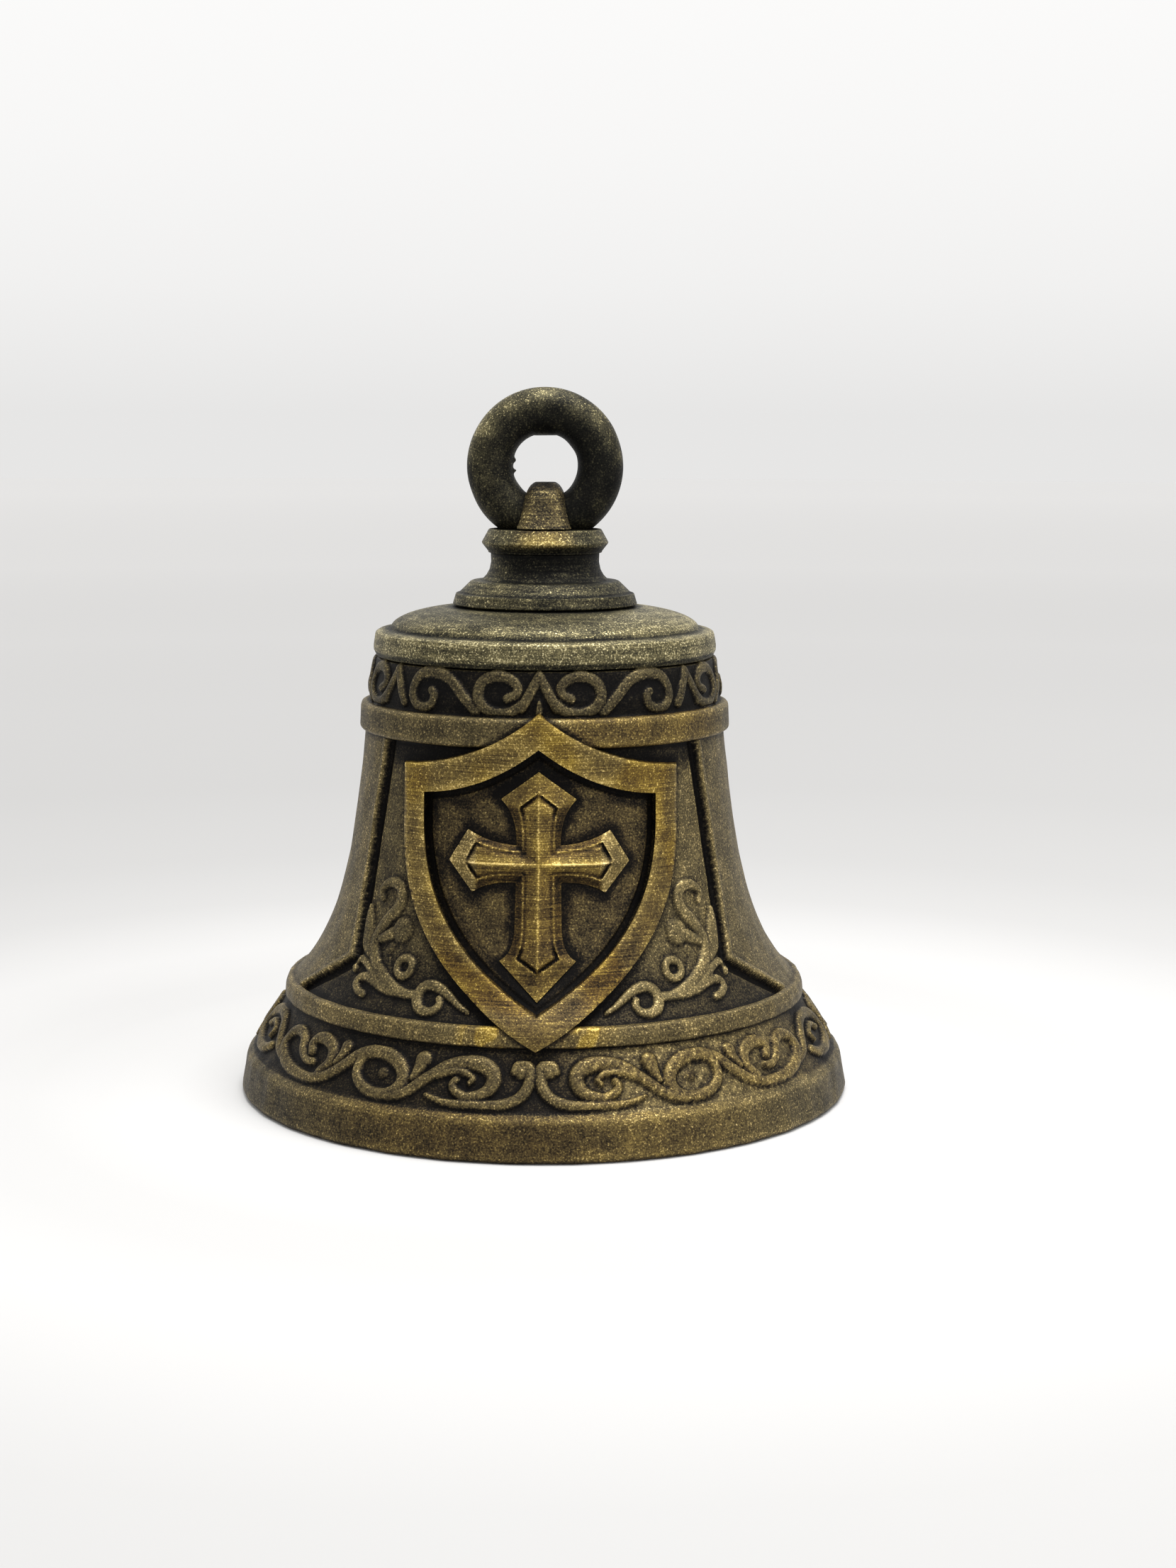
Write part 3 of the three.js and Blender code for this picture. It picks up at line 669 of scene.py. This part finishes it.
def body_tone(z, angle, raised, depth, window, beside, around):
    """Where the outside's patina is dark, where it is rubbed, where the wax is golder,
    and where light and shade are painted on.
    """
    side = (np.degrees(angle) + 180) % 360 - 180
    middle = ramp(np.abs(side), 60, 20)
    # right marks the right-hand part of the front; the tones paint it lighter, as painted light from
    # the right.
    right = ramp(side, 2, 14) * ramp(side, 75, 55)
    under = 0.32 * ramp(beside, 1, 0.1)  # painted shade along the shield's outer edge, where the raised shield stands over the body
    wall = 4 * raised * (1 - raised)  # the sloping side of each stroke, which the tones paint darker as painted shade
    x, y = np.sin(angle)[None, :], np.cos(angle)[None, :]
    uneven = 0.6 * lump(x * 30, y * 30, z, 8, 3)
    sand = lump(x * 45, y * 45, z, 41, 0.5)
    worn = ramp(lump(x * 40, y * 40, z, 42, 2), -0.5, 0.2)
    areas = [(z < LIP_SHOULDER, *lip_tone(z, middle, right)),
             (z < FRIEZE_HEAD, *frieze_tone(raised, wall, right, sand)),
             (z < WAIST_FOOT, *moulding_tone(z, side, under, worn)),
             (z < WAIST_HEAD, waist_tone(z, raised, depth, beside, right) - 0.12 * wall, 0.12),
             # The band: painted shade along the shield's edge, and painted light, lighter and golder,
             # on the right.
             (z < BAND_TOP, 0.48 - under + 0.03 * right, 0.1 + 0.45 * right),
             (z < CROWN_TOP, 0.03 + 0.33 * raised - 0.05 * wall, 0.05)]
    tone = np.select([a[0] for a in areas], [a[1] + 0 * depth for a in areas], 0.3)
    gold = np.select([a[0] for a in areas], [a[2] + 0 * depth for a in areas], 0)
    tone = np.where(window > 0, ground_tone(z, window, around, uneven), tone)
    return tone, np.where(window > 0, 0.3, gold)


def lip_tone(z, middle, right):
    # Painted highlight on the upward chamfer at the lip's top, painted shade along the lip's foot at
    # the floor, and painted light on the right.
    tone = 0.41 + 0.04 * ramp(z, 6, 6.3) - 0.2 * ramp(z, 0.9, 0.2) + 0.1 * right
    return tone, 0.1 + 0.35 * middle


def frieze_tone(raised, wall, right, sand):
    # On the right the ground is painted lighter, partly as painted light from the right and partly as
    # rubbed, speckled ground, and the strokes' sides darker, as painted shade.
    tone = 0.22 + 0.38 * right + raised * (0.2 - 0.32 * right) - (0.08 + 0.22 * right) * wall
    return tone + 0.08 * right * sand, 0.2 + 0.2 * right * raised


def moulding_tone(z, side, under, worn):
    patch = ramp(np.abs(np.abs(side) - 11), 7, 2) * (np.abs(side) < 90) * (0.3 + 0.7 * worn)
    # Painted shade under the moulding's overhanging lower edge and along the shield's edge; the worn
    # patches are lighter and golder.
    tone = 0.48 + 0.24 * patch - under - 0.3 * ramp(z, 16.3, 15.9)
    return tone, 0.2 + 0.8 * patch


def waist_tone(z, raised, depth, beside, right):
    """The side panels, the dark groove along the front panel, and the panel itself, with painted
    shade and light on the panel.
    """
    panel = ramp(depth, -0.1, 0.3)
    # dark is painted shade beside the shield's outer edge and under the band, and also makes the
    # panel darker towards its foot; right paints the panel lighter on the right, as painted light.
    dark = 0.32 * ramp(beside, 2, 0.2) + 0.26 * ramp(z, 31, 21) + 0.3 * ramp(z, 53, 57.5)
    plain = 0.54 + panel * (0.09 * right - 0.07) - dark * panel * (1 - raised)
    return plain - 0.5 * ramp(depth, -0.1, 0.2) * ramp(depth, 1.8, 1.3)


def ground_tone(z, window, around, uneven):
    """The ground inside the shield: brown, black in the groove along the border, painted shade along
    the border's inner edge, heavier under its top, and a painted shadow round the cross.
    """
    edge = ramp(window, 3.2 + uneven, 1.4 + uneven) * (0.6 + 0.4 * ramp(z, 47, 50))
    near = 1.2 * ramp(around, 2.2 + uneven, 0.4)
    return 0.42 - 0.3 * edge - 0.3 * near - 0.3 * ramp(window, 1.3, 0.9)


# ---------------- plates on the waist

def outline_of(half):
    """A closed outline from the right half of a symmetrical one, bottom first."""
    half = np.asarray(half, float)
    left = half[1:-1][::-1] * [-1, 1]
    return np.vstack([half, left])


def distance_to(points, path, closed=True):
    """Distance of each point to a polyline."""
    path = np.vstack([path, path[:1]]) if closed else path
    best = np.full(len(points), 1e9)
    for a, b in zip(path, path[1:]):
        way = b - a
        share = np.clip(((points - a) @ way) / max(way @ way, 1e-12), 0, 1)
        best = np.minimum(best, np.linalg.norm(points - (a + share[:, None] * way), axis=1))
    return best


def within(points, path):
    inside = np.zeros(len(points), bool)
    for a, b in zip(path, np.roll(path, -1, 0)):
        crosses = (a[1] > points[:, 1]) != (b[1] > points[:, 1])
        run = a[0] + (points[:, 1] - a[1]) / (b[1] - a[1] + 1e-12) * (b[0] - a[0])
        inside ^= crosses & (points[:, 0] < run)
    return inside


def plate(outline, holes, creases, spacing, top, base):
    """Points and faces of a plate that stands on the waist. top and base give the radius over
    (points, distance to the outline) and at heights; creases are lines kept as mesh edges."""
    loops = [outline, *holes]
    lines = loops + creases
    low, high = outline.min(0), outline.max(0)
    across = np.arange(low[0], high[0], spacing)
    up = np.arange(low[1], high[1], spacing * 0.87)
    grid = np.array([(x + (k % 2) * spacing / 2, z) for k, z in enumerate(up) for x in across])
    keep = within(grid, outline)
    for hole in holes:
        keep &= ~within(grid, hole)
    for number, line in enumerate(lines):
        keep &= distance_to(grid, line, number < len(loops)) > 0.55 * spacing
    grid = grid[keep]
    points, edges, start = [], [], 0
    for number, line in enumerate(lines):
        count = len(line)
        last = count if number < len(loops) else count - 1
        edges += [(start + k, start + (k + 1) % count) for k in range(last)]
        points += [tuple(p) for p in line]
        start += count
    points += [tuple(p) for p in grid]
    flat, _, faces, *_ = delaunay_2d_cdt([Vector(p) for p in points], edges, [], 0, 1e-5)
    flat = np.array([tuple(p) for p in flat])
    faces = np.array([f for f in faces])
    middle = flat[faces].mean(1)
    keep = within(middle, outline)
    for hole in holes:
        keep &= ~within(middle, hole)
    faces = faces[keep]
    distance = np.min([distance_to(flat, loop) for loop in loops], axis=0)
    front = wrapped_on(flat, top(flat, distance))
    back = wrapped_on(flat, base(flat[:, 1]))
    count = len(flat)
    sides = np.concatenate([faces[:, [0, 1]], faces[:, [1, 2]], faces[:, [2, 0]]])
    known = {tuple(s) for s in sides}
    rim = [(a, b) for a, b in known if (b, a) not in known]
    walls = [(b, a, a + count, b + count) for a, b in rim]
    solid = [tuple(f) for f in faces] + [tuple(f[::-1] + count) for f in faces] + walls
    return np.vstack([front, back]), solid


def wrapped_on(flat, radius):
    """Front-view points (x, height) carried onto a round body of the given radius."""
    x = np.clip(flat[:, 0], -radius, radius)
    return np.stack([x, -np.sqrt(radius ** 2 - x ** 2), flat[:, 1]], 1)


SHIELD_FOOT = [(14.5, 43.1), (16.2, 42.9), (19, 41.7)]  # (height, radius) over the moulding
SHIELD_HEAD = [(58.5, 29.75), (60.5, 30.1), (66, 30.2)]  # over the band


def shield_radius(z):
    waist = [(h, float(waist_radius(h))) for h in np.linspace(22, 55.5, 30)]
    table = np.array(SHIELD_FOOT + waist + SHIELD_HEAD)
    fine = np.linspace(14.5, 66, 200)
    radius = np.interp(fine, table[:, 0], table[:, 1])
    padded = np.pad(radius, 6, "reflect", reflect_type="odd")
    return np.interp(z, fine, np.convolve(padded, np.full(13, 1 / 13), "valid"))


def body_radius(z):
    """A radius just under the body's surface, where the plates' backs lie."""
    table = np.array([(14, 43.1), (15.7, 41.9), (16, 42.5), (18.8, 42), (19.2, 40)])
    low = np.interp(z, table[:, 0], table[:, 1])
    high = np.interp(z, [58.8, 59.5, 63.9, 64.2, 66], [28.2, 29.4, 29.4, 28.2, 28.1])
    middle = waist_radius(z) - PANEL_DEPTH - 0.1
    return np.where(z < 19.2, low, np.where(z > 58.8, high, middle))


def facing(points, name):
    return points * [-1, -1, 1] if name == "back" else points


def dark_backed(tone):
    """A plate's tone, dark on the second half of its points, which are its hidden back."""
    return np.where(np.arange(len(tone)) < len(tone) // 2, tone, 0.1)


def shield_border(name):
    outer, inner = outline_of(SHIELD_OUTER), outline_of(SHIELD_INNER)

    def top(flat, distance):
        bevel = 0.16 * (1 - np.clip(distance / 0.35, 0, 1)) ** 2
        waviness = 0.02 * lump(flat[:, 0], flat[:, 1], 0, 11, 2)
        return shield_radius(flat[:, 1]) + SHIELD_RISE - bevel + waviness

    points, faces = plate(outer, [inner], [], 0.42, top, body_radius)
    piece = made(f"shield_border_{name}", facing(points, name), faces, "bell",
                 [f"shield_{name}"], 38)
    patches = ramp(lump(*points.T, 31, 9), -0.3, 0.9)
    tone = 0.57 - 0.14 * ramp(points[:, 2], 38, 24) - 0.07 * ramp(points[:, 0], 4, 18)
    tone = tone + 0.04 * ramp(points[:, 2], 50, 55)
    return coloured(piece, GILT, dark_backed(tone), 0.55 + 0.45 * patches)


def cross(name):
    base = outline_of(resampled(CROSS_BASE, 0.28))
    crest = outline_of(resampled(CROSS_CREST, 0.28))
    upright = np.array([(0, z) for z in np.arange(26, 52.7, 0.25)])
    beam = np.array([(x, CROSS_BEAM) for x in np.arange(-11.25, 11.3, 0.25)])
    tips = [np.array([(0, 22.3), (0, 25.4)]), np.array([(0, 53.1), (0, 55.4)]),
            np.array([(11.8, CROSS_BEAM), (13.5, CROSS_BEAM)]),
            np.array([(-13.5, CROSS_BEAM), (-11.8, CROSS_BEAM)])]

    def top(flat, distance):
        to_crest = distance_to(flat, crest)
        inside = within(flat, crest)
        to_ridge = np.minimum(distance_to(flat, upright, False), distance_to(flat, beam, False))
        slope = distance / np.maximum(distance + to_crest, 1e-6)
        bevel = 0.4 + 0.8 * np.where(inside, 1, slope)
        beam_ends = ramp(np.abs(flat[:, 0]), 8.5, 9.5)
        ends = np.maximum(beam_ends, ramp(np.abs(flat[:, 1] - CROSS_MIDDLE), 9.4, 10.4))
        groove = (0.1 + 0.3 * ends) * ramp(to_crest, 0.02, 0.2) * ramp(to_crest, 0.9, 0.4) * inside
        roof = 0.9 * to_crest / np.maximum(to_crest + to_ridge, 1e-6) * inside
        rise = np.minimum(bevel - groove + roof, PANEL_DEPTH + CROSS_RISE)
        return waist_radius(flat[:, 1]) - PANEL_DEPTH + rise

    def under(z):
        return waist_radius(z) - PANEL_DEPTH - 0.1

    ring = np.vstack([crest, crest[:1]])
    points, faces = plate(base, [], [ring, upright, beam, *tips], 0.25, top, under)
    piece = made(f"cross_relief_{name}", facing(points, name), faces, "bell",
                 [f"cross_{name}"], 20)
    flat = points[:, [0, 2]]
    to_crest = distance_to(flat, crest)
    inside = within(flat, crest)
    x, z = np.abs(flat[:, 0]), flat[:, 1]
    beams = ramp(x, 9.2, 10)
    ends = np.maximum(beams, ramp(np.abs(z - CROSS_MIDDLE), 10.6, 11.6))
    ridge = np.minimum(x, np.where(x < 11, np.abs(z - CROSS_BEAM), 9))
    # Painted light and shade: the beam's upper face is painted lighter and its lower face darker, the
    # upper arm lighter, and the lower right of the upright darker.
    above = 0.17 * ramp(z, 43.4, 42.1) * (z >= CROSS_BEAM)
    below = 0.04 * ramp(z, 41, 41.9) * (z < CROSS_BEAM)
    upper, lower = ramp(z, 43, 45) * ramp(x, 6, 5), ramp(z, 40, 38)
    fill = 0.48 + (above - below) * ramp(x, 1.8, 2.6) + 0.05 * upper
    fill = fill - 0.05 * lower * (points[:, 0] > 0)
    tone = np.where(inside, fill, 0.24 + 0.26 * ends + 0.1 * beams + 0.05 * upper)
    groove = 0.26 * inside * ramp(to_crest, 0.1, 0.25) * ramp(to_crest, 0.6, 0.4)
    tone = tone - groove * (0.4 + 0.6 * ends)
    # Painted highlights on the crest's edge and along the ridges.
    tone = tone + 0.16 * ramp(to_crest, 0.2, 0.02) + 0.14 * inside * ramp(ridge, 0.3, 0.05)
    return coloured(piece, GILT, dark_backed(tone), 0.72 - 0.4 * beams)


# ---------------- cap, stem, saddle and ring

def rounded_profile(points, cut=0.3, spacing=0.35):
    return resampled(softened(points, cut), spacing)


def shoulder_cap():
    rim = [(27.3, 71.2), (27.8, 72.2), (27.8, 72.9), (27.5, 74.9), (26.9, 75.3), (25.2, 75.5)]
    dome = [(12 + 13 * cos(a), 75.5 + 3.6 * sin(a)) for a in np.radians(np.arange(4, 84, 4))]
    profile = [(2.5, 71.2), *rim, *dome, (14.2, 79.3), (2.5, 79.3)]
    profile = rounded_profile([*profile, (2.5, 71.2)], 0.12)[:-1]
    points, faces = turned(profile, 360)
    x, y, z = points.T
    r = np.hypot(x, y)
    scale = 1 + np.where(r > 3, 0.025 * lump(x, y, z, 5, 3) / np.maximum(r, 1), 0)
    points = points * np.stack([scale, scale, np.ones_like(scale)], 1)
    piece = made("cap_shell", points, faces, "bell", ["shoulder_cap"], 24)
    x, y, z = points.T
    r = np.hypot(x, y)
    # Painted shade on the dome round the stem's foot and under the rim's lower edge, and painted
    # light on the right of the dome.
    tone = 0.46 + 0.1 * ramp(z, 75.6, 74.9) - 0.3 * ramp(r, 16.2, 15)
    tone = tone + 0.12 * ramp(z, 75, 75.6) * ramp(x, 8, 16)
    tone = tone - 0.3 * ramp(z, 72.3, 71.9) - 0.12 * ramp(np.abs(r - 25.5), 0.5, 0.1)
    return coloured(piece, TURNED, tone)


def subtracted(piece, points, faces):
    """Cuts a closed solid out of a piece."""
    mesh = mesh_of("cutter", points, faces)
    cutter = added("cutter", mesh)
    change = piece.modifiers.new("room", "BOOLEAN")
    change.object, change.operation, change.solver = cutter, "DIFFERENCE", "EXACT"
    graph = bpy.context.evaluated_depsgraph_get()
    result = bpy.data.meshes.new_from_object(piece.evaluated_get(graph))
    piece.modifiers.clear()
    old = piece.data
    piece.data = result
    bpy.data.meshes.remove(old)
    bpy.data.objects.remove(cutter)
    bpy.data.meshes.remove(mesh)
    return piece


def tilt_room(half):
    """A solid turned about the hinge line, from half its outline as (distance along X, radius)."""
    end = half[-1][0]
    profile = [(0, -end), *[(r, -x) for x, r in half[::-1]], *[(r, x) for x, r in half], (0, end)]
    points, faces = turned(profile, 64, closed=False)
    return np.stack([points[:, 2], points[:, 1], -points[:, 0] + RING_AXIS], 1), faces


def neck_stem():
    foot = [(14.2, 79.35), (14.85, 79.35), (14.95, 79.5), (14.45, 81.15), (13.9, 81.3), (12.1, 83.05),
            (11.8, 83.2)]
    neck = [(10.3, 83.3), (9.5, 84.1), (9, 85), (8.75, 86.2), (8.8, 87.65)]
    head = [(9.2, 87.75), (9.25, 88), (10.2, 89.2), (10.25, 89.4), (9.15, 91.4), (9.05, 91.5)]
    profile = [(2.5, 79.35), *foot, *neck, *head, (2.5, 91.5), (2.5, 79.35)]
    profile = rounded_profile(profile, 0.07, 0.12)[:-1]
    points, faces = turned(profile, 240)
    piece = made("stem_turning", points, faces, "bell", ["neck_stem"])
    groove = [(2, 4.05), (4.5, 4.12), (6.3, 3.92), (7.3, 3.5), (8.3, 2.6), (9, 1.1)]
    subtracted(piece, *tilt_room(groove))
    smooth(piece.data, 24)
    place = places_of(piece.data)
    r, z = np.hypot(place[:, 0], place[:, 1]), place[:, 2]
    front = ramp(np.degrees(np.arctan2(np.abs(place[:, 0]), -place[:, 1])), 40, 10)
    plate = ramp(z, 88.4, 89.1)
    # Painted light and shade: shade along the foot where it meets the dome, under the plate and on
    # the plate's top round the saddle; the neck is painted lighter on its left and darker elsewhere,
    # and the plate lighter at its front.
    tone = 0.32 - 0.17 * ramp(np.abs(z - 81.35), 0.3, 0.1) - 0.08 * ramp(z, 80, 79.6)
    tone = tone - 0.17 * ramp(z, 82.9, 83.4) * ramp(z, 88.4, 87.4) * ramp(place[:, 0], -9, -4)
    tone = tone + plate * (0.03 + 0.25 * front * ramp(z, 91.3, 90.9))
    tone = tone - 0.12 * ramp(z, 86.4, 87.4) * (1 - plate)
    tone = tone + 0.1 * ramp(place[:, 0], -2, -8)
    tone = np.where((z > 91.3) & (r < 8.6), 0.14, tone)
    return coloured(piece, TURNED, tone, 0.5 * front * plate)


def rounded_section(half_width, half_depth, count=64):
    """A rounded rectangle as points round the axis."""
    angle = (np.arange(count) + 0.5) / count * 2 * pi
    power = 4.2
    c, s = np.cos(angle), np.sin(angle)
    reach = (np.abs(c) ** power + np.abs(s) ** power) ** (-1 / power)
    return reach * c * half_width, reach * s * half_depth


def ring_saddle():
    heights = np.array([91.8, 92.4, 93.2, 94, 95, 96, 97, 97.6, 98.1, 98.5, 98.8, 98.96, 99])
    width = np.interp(heights, [91.8, 92.6, 97.9], [4.75, 4.4, 2.85])
    depth = np.interp(heights, [91.8, 93.2, 95, 97, 98, 99], [8.3, 7.4, 6.4, 5.6, 4.7, 2.9])
    width = width * np.sqrt(np.clip(1 - ((heights - 96.9) / 2.45).clip(0) ** 2.6, 0.2, 1))
    rows = []
    for z, a, b in zip(heights, width, depth):
        x, y = rounded_section(a, b)
        rows.append(np.stack([x, y, np.full_like(x, z)], 1))
    count = rows[0].shape[0]
    points = np.vstack(rows)
    faces = [tuple(f) for f in wrapped(len(rows), count, False)]
    low, high = len(points), len(points) + 1
    points = np.vstack([points, [(0, 0, 91.8), (0, 0, 99)]])
    first = (len(rows) - 1) * count
    for k in range(count):
        after = (k + 1) % count
        faces.append((low, after, k))
        faces.append((high, first + k, first + after))
    piece = made("saddle_casting", points, faces, "bell", ["ring_saddle"])
    room = [(x, RING_RADIUS - (RING_HOLE ** 2 - x * x) ** 0.5 + HINGE_ROOM)
            for x in np.arange(0.5, 5.1, 0.4)]
    subtracted(piece, *tilt_room(room))
    smooth(piece.data, 35)
    place = places_of(piece.data)
    # Painted shade: the top, inside the ring, and the right side are painted darker, and the foot
    # lighter.
    right = ramp(place[:, 0], 1.5, 3.5)
    tone = 0.35 - 0.22 * ramp(place[:, 2], 97.2, 98.6) + 0.06 * ramp(place[:, 2], 95, 92)
    return coloured(piece, TURNED, tone - 0.12 * right, 0.3, edge=0.6)


def hanging_ring():
    turn = np.arange(192) / 192 * 2 * pi
    around = np.arange(96) / 96 * 2 * pi
    big, small = np.meshgrid(turn, around, indexing="ij")
    wire = np.full_like(big, RING_WIRE)
    x0 = np.cos(big) * RING_RADIUS
    z0 = np.sin(big) * RING_RADIUS
    wire += 0.05 * lump(x0, np.sin(small) * 4, z0, 21, 4)
    flat = np.clip(RING_HOLE - HOLE_FLAT / np.cos(np.clip(big - pi / 2, -1, 1)), 0, 1)
    wire += flat * ramp(-np.cos(small), 0.7, 1)
    for degrees, size in ((168, 0.3), (172, 0.25), (189, 0.5)):  # beads left on the hole's edge
        wire += size * np.exp(-((big - radians(degrees)) * RING_HOLE / 0.3) ** 2
                              - ((small - pi) * RING_WIRE / 0.6) ** 2)
    reach = RING_RADIUS + wire * np.cos(small) - 0.08 * ramp(-np.cos(small), 0, 0.8)
    reach = np.minimum(reach, RING_RADIUS + RING_WIRE - 0.01)
    points = np.stack([np.cos(big) * reach, wire * np.sin(small),
                       np.sin(big) * reach + RING_CENTRE], -1).reshape(-1, 3)
    piece = made("ring_casting", points, wrapped(192, 96, True), "ring",
                 ["hanging_ring"])
    place = places_of(piece.data)
    # Painted highlight on the ring's outside at the upper left; round the hole and on the right the
    # ring is left dark as painted shade.
    outer = np.hypot(place[:, 0], place[:, 2] - RING_CENTRE)
    upper, left = ramp(place[:, 2], 98, 109), ramp(place[:, 0], 6, -9)
    tone = 0.07 + 0.12 * left + ramp(outer, 8, 12) * (0.28 * upper + 0.04 * left)
    return coloured(piece, RING, tone)


# ---------------- inside parts

def clapper():
    top = -BALL_RADIUS - 0.1
    ball = [(0, BALL_RADIUS)] + [(BALL_RADIUS * cos(a), BALL_RADIUS * sin(a))
                                 for a in np.radians(np.arange(86, -88, -4))] + [(0, -BALL_RADIUS)]
    ball = [(r, z + BALL_HEIGHT) for r, z in ball[::-1]]
    tail = [(0, top - 4.4), (0.7, top - 4.3), (1.5, top - 3.8), (2.2, top - 2.8), (2.55, top - 1.6),
            (2.6, top), (0, top)]
    tail = [(r, z + BALL_HEIGHT) for r, z in tail]
    for name, profile, node in (("clapper_bob", ball, "clapper_ball"),
                                ("clapper_cap_nut", tail, "clapper_tail")):
        points, faces = turned(profile, 96, closed=False)
        piece = made(name, points, faces, "clapper", [node], 50)
        coloured(piece, IRON, 0.42)


def kept_nodes():
    """Frame parts whose shape is right: they keep it, and take a better finish."""
    for name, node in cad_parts.items():
        if node.hide_render:
            continue
        if "rivet" in name:
            material, tone = FASTENER, 0.5
        elif name == "clapper_shank":
            material, tone = IRON, 0.4
        else:
            material, tone = STEEL, 0.5
        for slot in node.material_slots:
            slot.material = material
        store(node.data, "tone", tone)
        store(node.data, "gold", 0.2)


# ---------------- studio

# The floor's grey by distance from the bell is painted light and shade: a painted pool of light close
# round the bell that hides its shadow, a painted darker ring further out, and lighter again far off.
FLOOR_TONES = [(0, 197), (0.06, 196), (0.075, 187), (0.09, 182), (0.118, 186), (0.141, 181),
               (0.167, 174), (0.225, 170), (0.346, 174), (0.55, 190), (0.85, 207), (1.45, 222),
               (3.1, 231)]  # (metres from the bell, grey level), fitted to the photo
FLOOR_REACH = FLOOR_TONES[-1][0]
SKY_TONES = [(0.5, 230), (0.525, 241), (0.55, 247), (0.58, 251)]  # (share of the height, level)


def greys(tones, reach=1):
    return [(place / reach, (level + 0.6, level, level - 0.8)) for place, level in tones]


def studio():
    bpy.ops.mesh.primitive_circle_add(vertices=128, radius=4, fill_type="NGON")
    floor = bpy.context.object
    floor.name = "studio_floor"
    material = bpy.data.materials.new("paper_sweep_painted_light")
    nodes, links = tree_of(material)
    place = nodes.new("ShaderNodeTexCoord")
    centred = nodes.new("ShaderNodeMapping")
    centred.inputs["Scale"].default_value = [1 / FLOOR_REACH] * 3
    links.new(place.outputs["Object"], centred.inputs["Vector"])
    length = nodes.new("ShaderNodeVectorMath")
    length.operation = "LENGTH"
    links.new(centred.outputs[0], length.inputs[0])
    # The floor's colour is painted light and shade, from FLOOR_TONES.
    tones = colour_ramp(nodes, greys(FLOOR_TONES, FLOOR_REACH))
    links.new(length.outputs["Value"], tones.inputs[0])
    shader = nodes["Principled BSDF"]
    links.new(tones.outputs["Color"], shader.inputs["Base Color"])
    shader.inputs["Roughness"].default_value = 0.9
    floor.data.materials.append(material)

    world = bpy.data.worlds.new("soft_room")
    bpy.context.scene.world = world
    nodes, links = tree_of(world)
    apart = nodes.new("ShaderNodeSeparateXYZ")
    links.new(nodes.new("ShaderNodeTexCoord").outputs["Generated"], apart.inputs[0])
    level = nodes.new("ShaderNodeMapRange")
    level.inputs["From Min"].default_value = -1
    links.new(apart.outputs["Z"], level.inputs["Value"])
    tones = colour_ramp(nodes, greys(SKY_TONES))
    links.new(level.outputs["Result"], tones.inputs[0])
    links.new(tones.outputs["Color"], nodes["Background"].inputs["Color"])
    lamp("overhead", (0.08, -0.06, 0.62), (0, 0, 0.04), 0.45, 4.8)
    lamp("side", (0.5, -0.35, 0.4), (0, 0, 0.06), 0.4, 1.2)


def lamp(name, place, aim, size, power):
    data = bpy.data.lights.new(name, "AREA")
    data.size, data.energy = size, power
    light = added(name, data)
    light.location = place
    light.rotation_euler = (Vector(aim) - Vector(place)).to_track_quat("-Z", "Y").to_euler()


def camera():
    """The eye is low, 415 mm from the axis, and a little to the right of the shield's centre."""
    distance, height, azimuth = 414.65 * MM, 109.9 * MM, radians(1.75)
    heading, pitch, roll = radians(90.77), radians(8.25), radians(0.22)
    data = bpy.data.cameras.new("camera")
    data.lens, data.sensor_width = 58.59, 36
    eye = added("camera", data)
    eye.location = (distance * sin(azimuth), -distance * cos(azimuth), height)
    forward = Vector((cos(heading) * cos(pitch), sin(heading) * cos(pitch), -sin(pitch)))
    turn = forward.to_track_quat("-Z", "Y") @ Quaternion((0, 0, 1), roll)
    eye.rotation_mode = "QUATERNION"
    eye.rotation_quaternion = turn
    bpy.context.scene.camera = eye


# ---------------- assembly

BODY = bronze("cast_bronze")
GILT = bronze("gilded_bronze", grain=0.36, blotch=0.3, streak=0.42, fleck=1.0, brush=(70, 5600),
              roughness=(0.58, 0.4), metallic=0.6)
TURNED = bronze("turned_bronze", grain=0.55, blotch=0.26, streak=0.34, fleck=1.3, brush=(150, 3400),
                palette=GREYED)
RING = bronze("ring_bronze", grain=0.4, blotch=0.4, streak=0.06, fleck=1.8, roughness=(0.6, 0.42),
              palette=GREYED)
IRON = bronze("clapper_iron", grain=0.2, blotch=0.2, streak=0.04, fleck=0.2)
STEEL = bronze("plain_steel", grain=0.1, blotch=0.1, streak=0.04, fleck=0.1, roughness=(0.45, 0.35))
FASTENER = bronze("rivet_bronze", grain=0.15, blotch=0.1, streak=0.04, fleck=0.2)

bell_body()
for side in ("front", "back"):
    shield_border(side)
    cross(side)
shoulder_cap()
neck_stem()
ring_saddle()
hanging_ring()
clapper()
kept_nodes()
studio()
camera()

bpy.context.scene.view_settings.view_transform = "Standard"
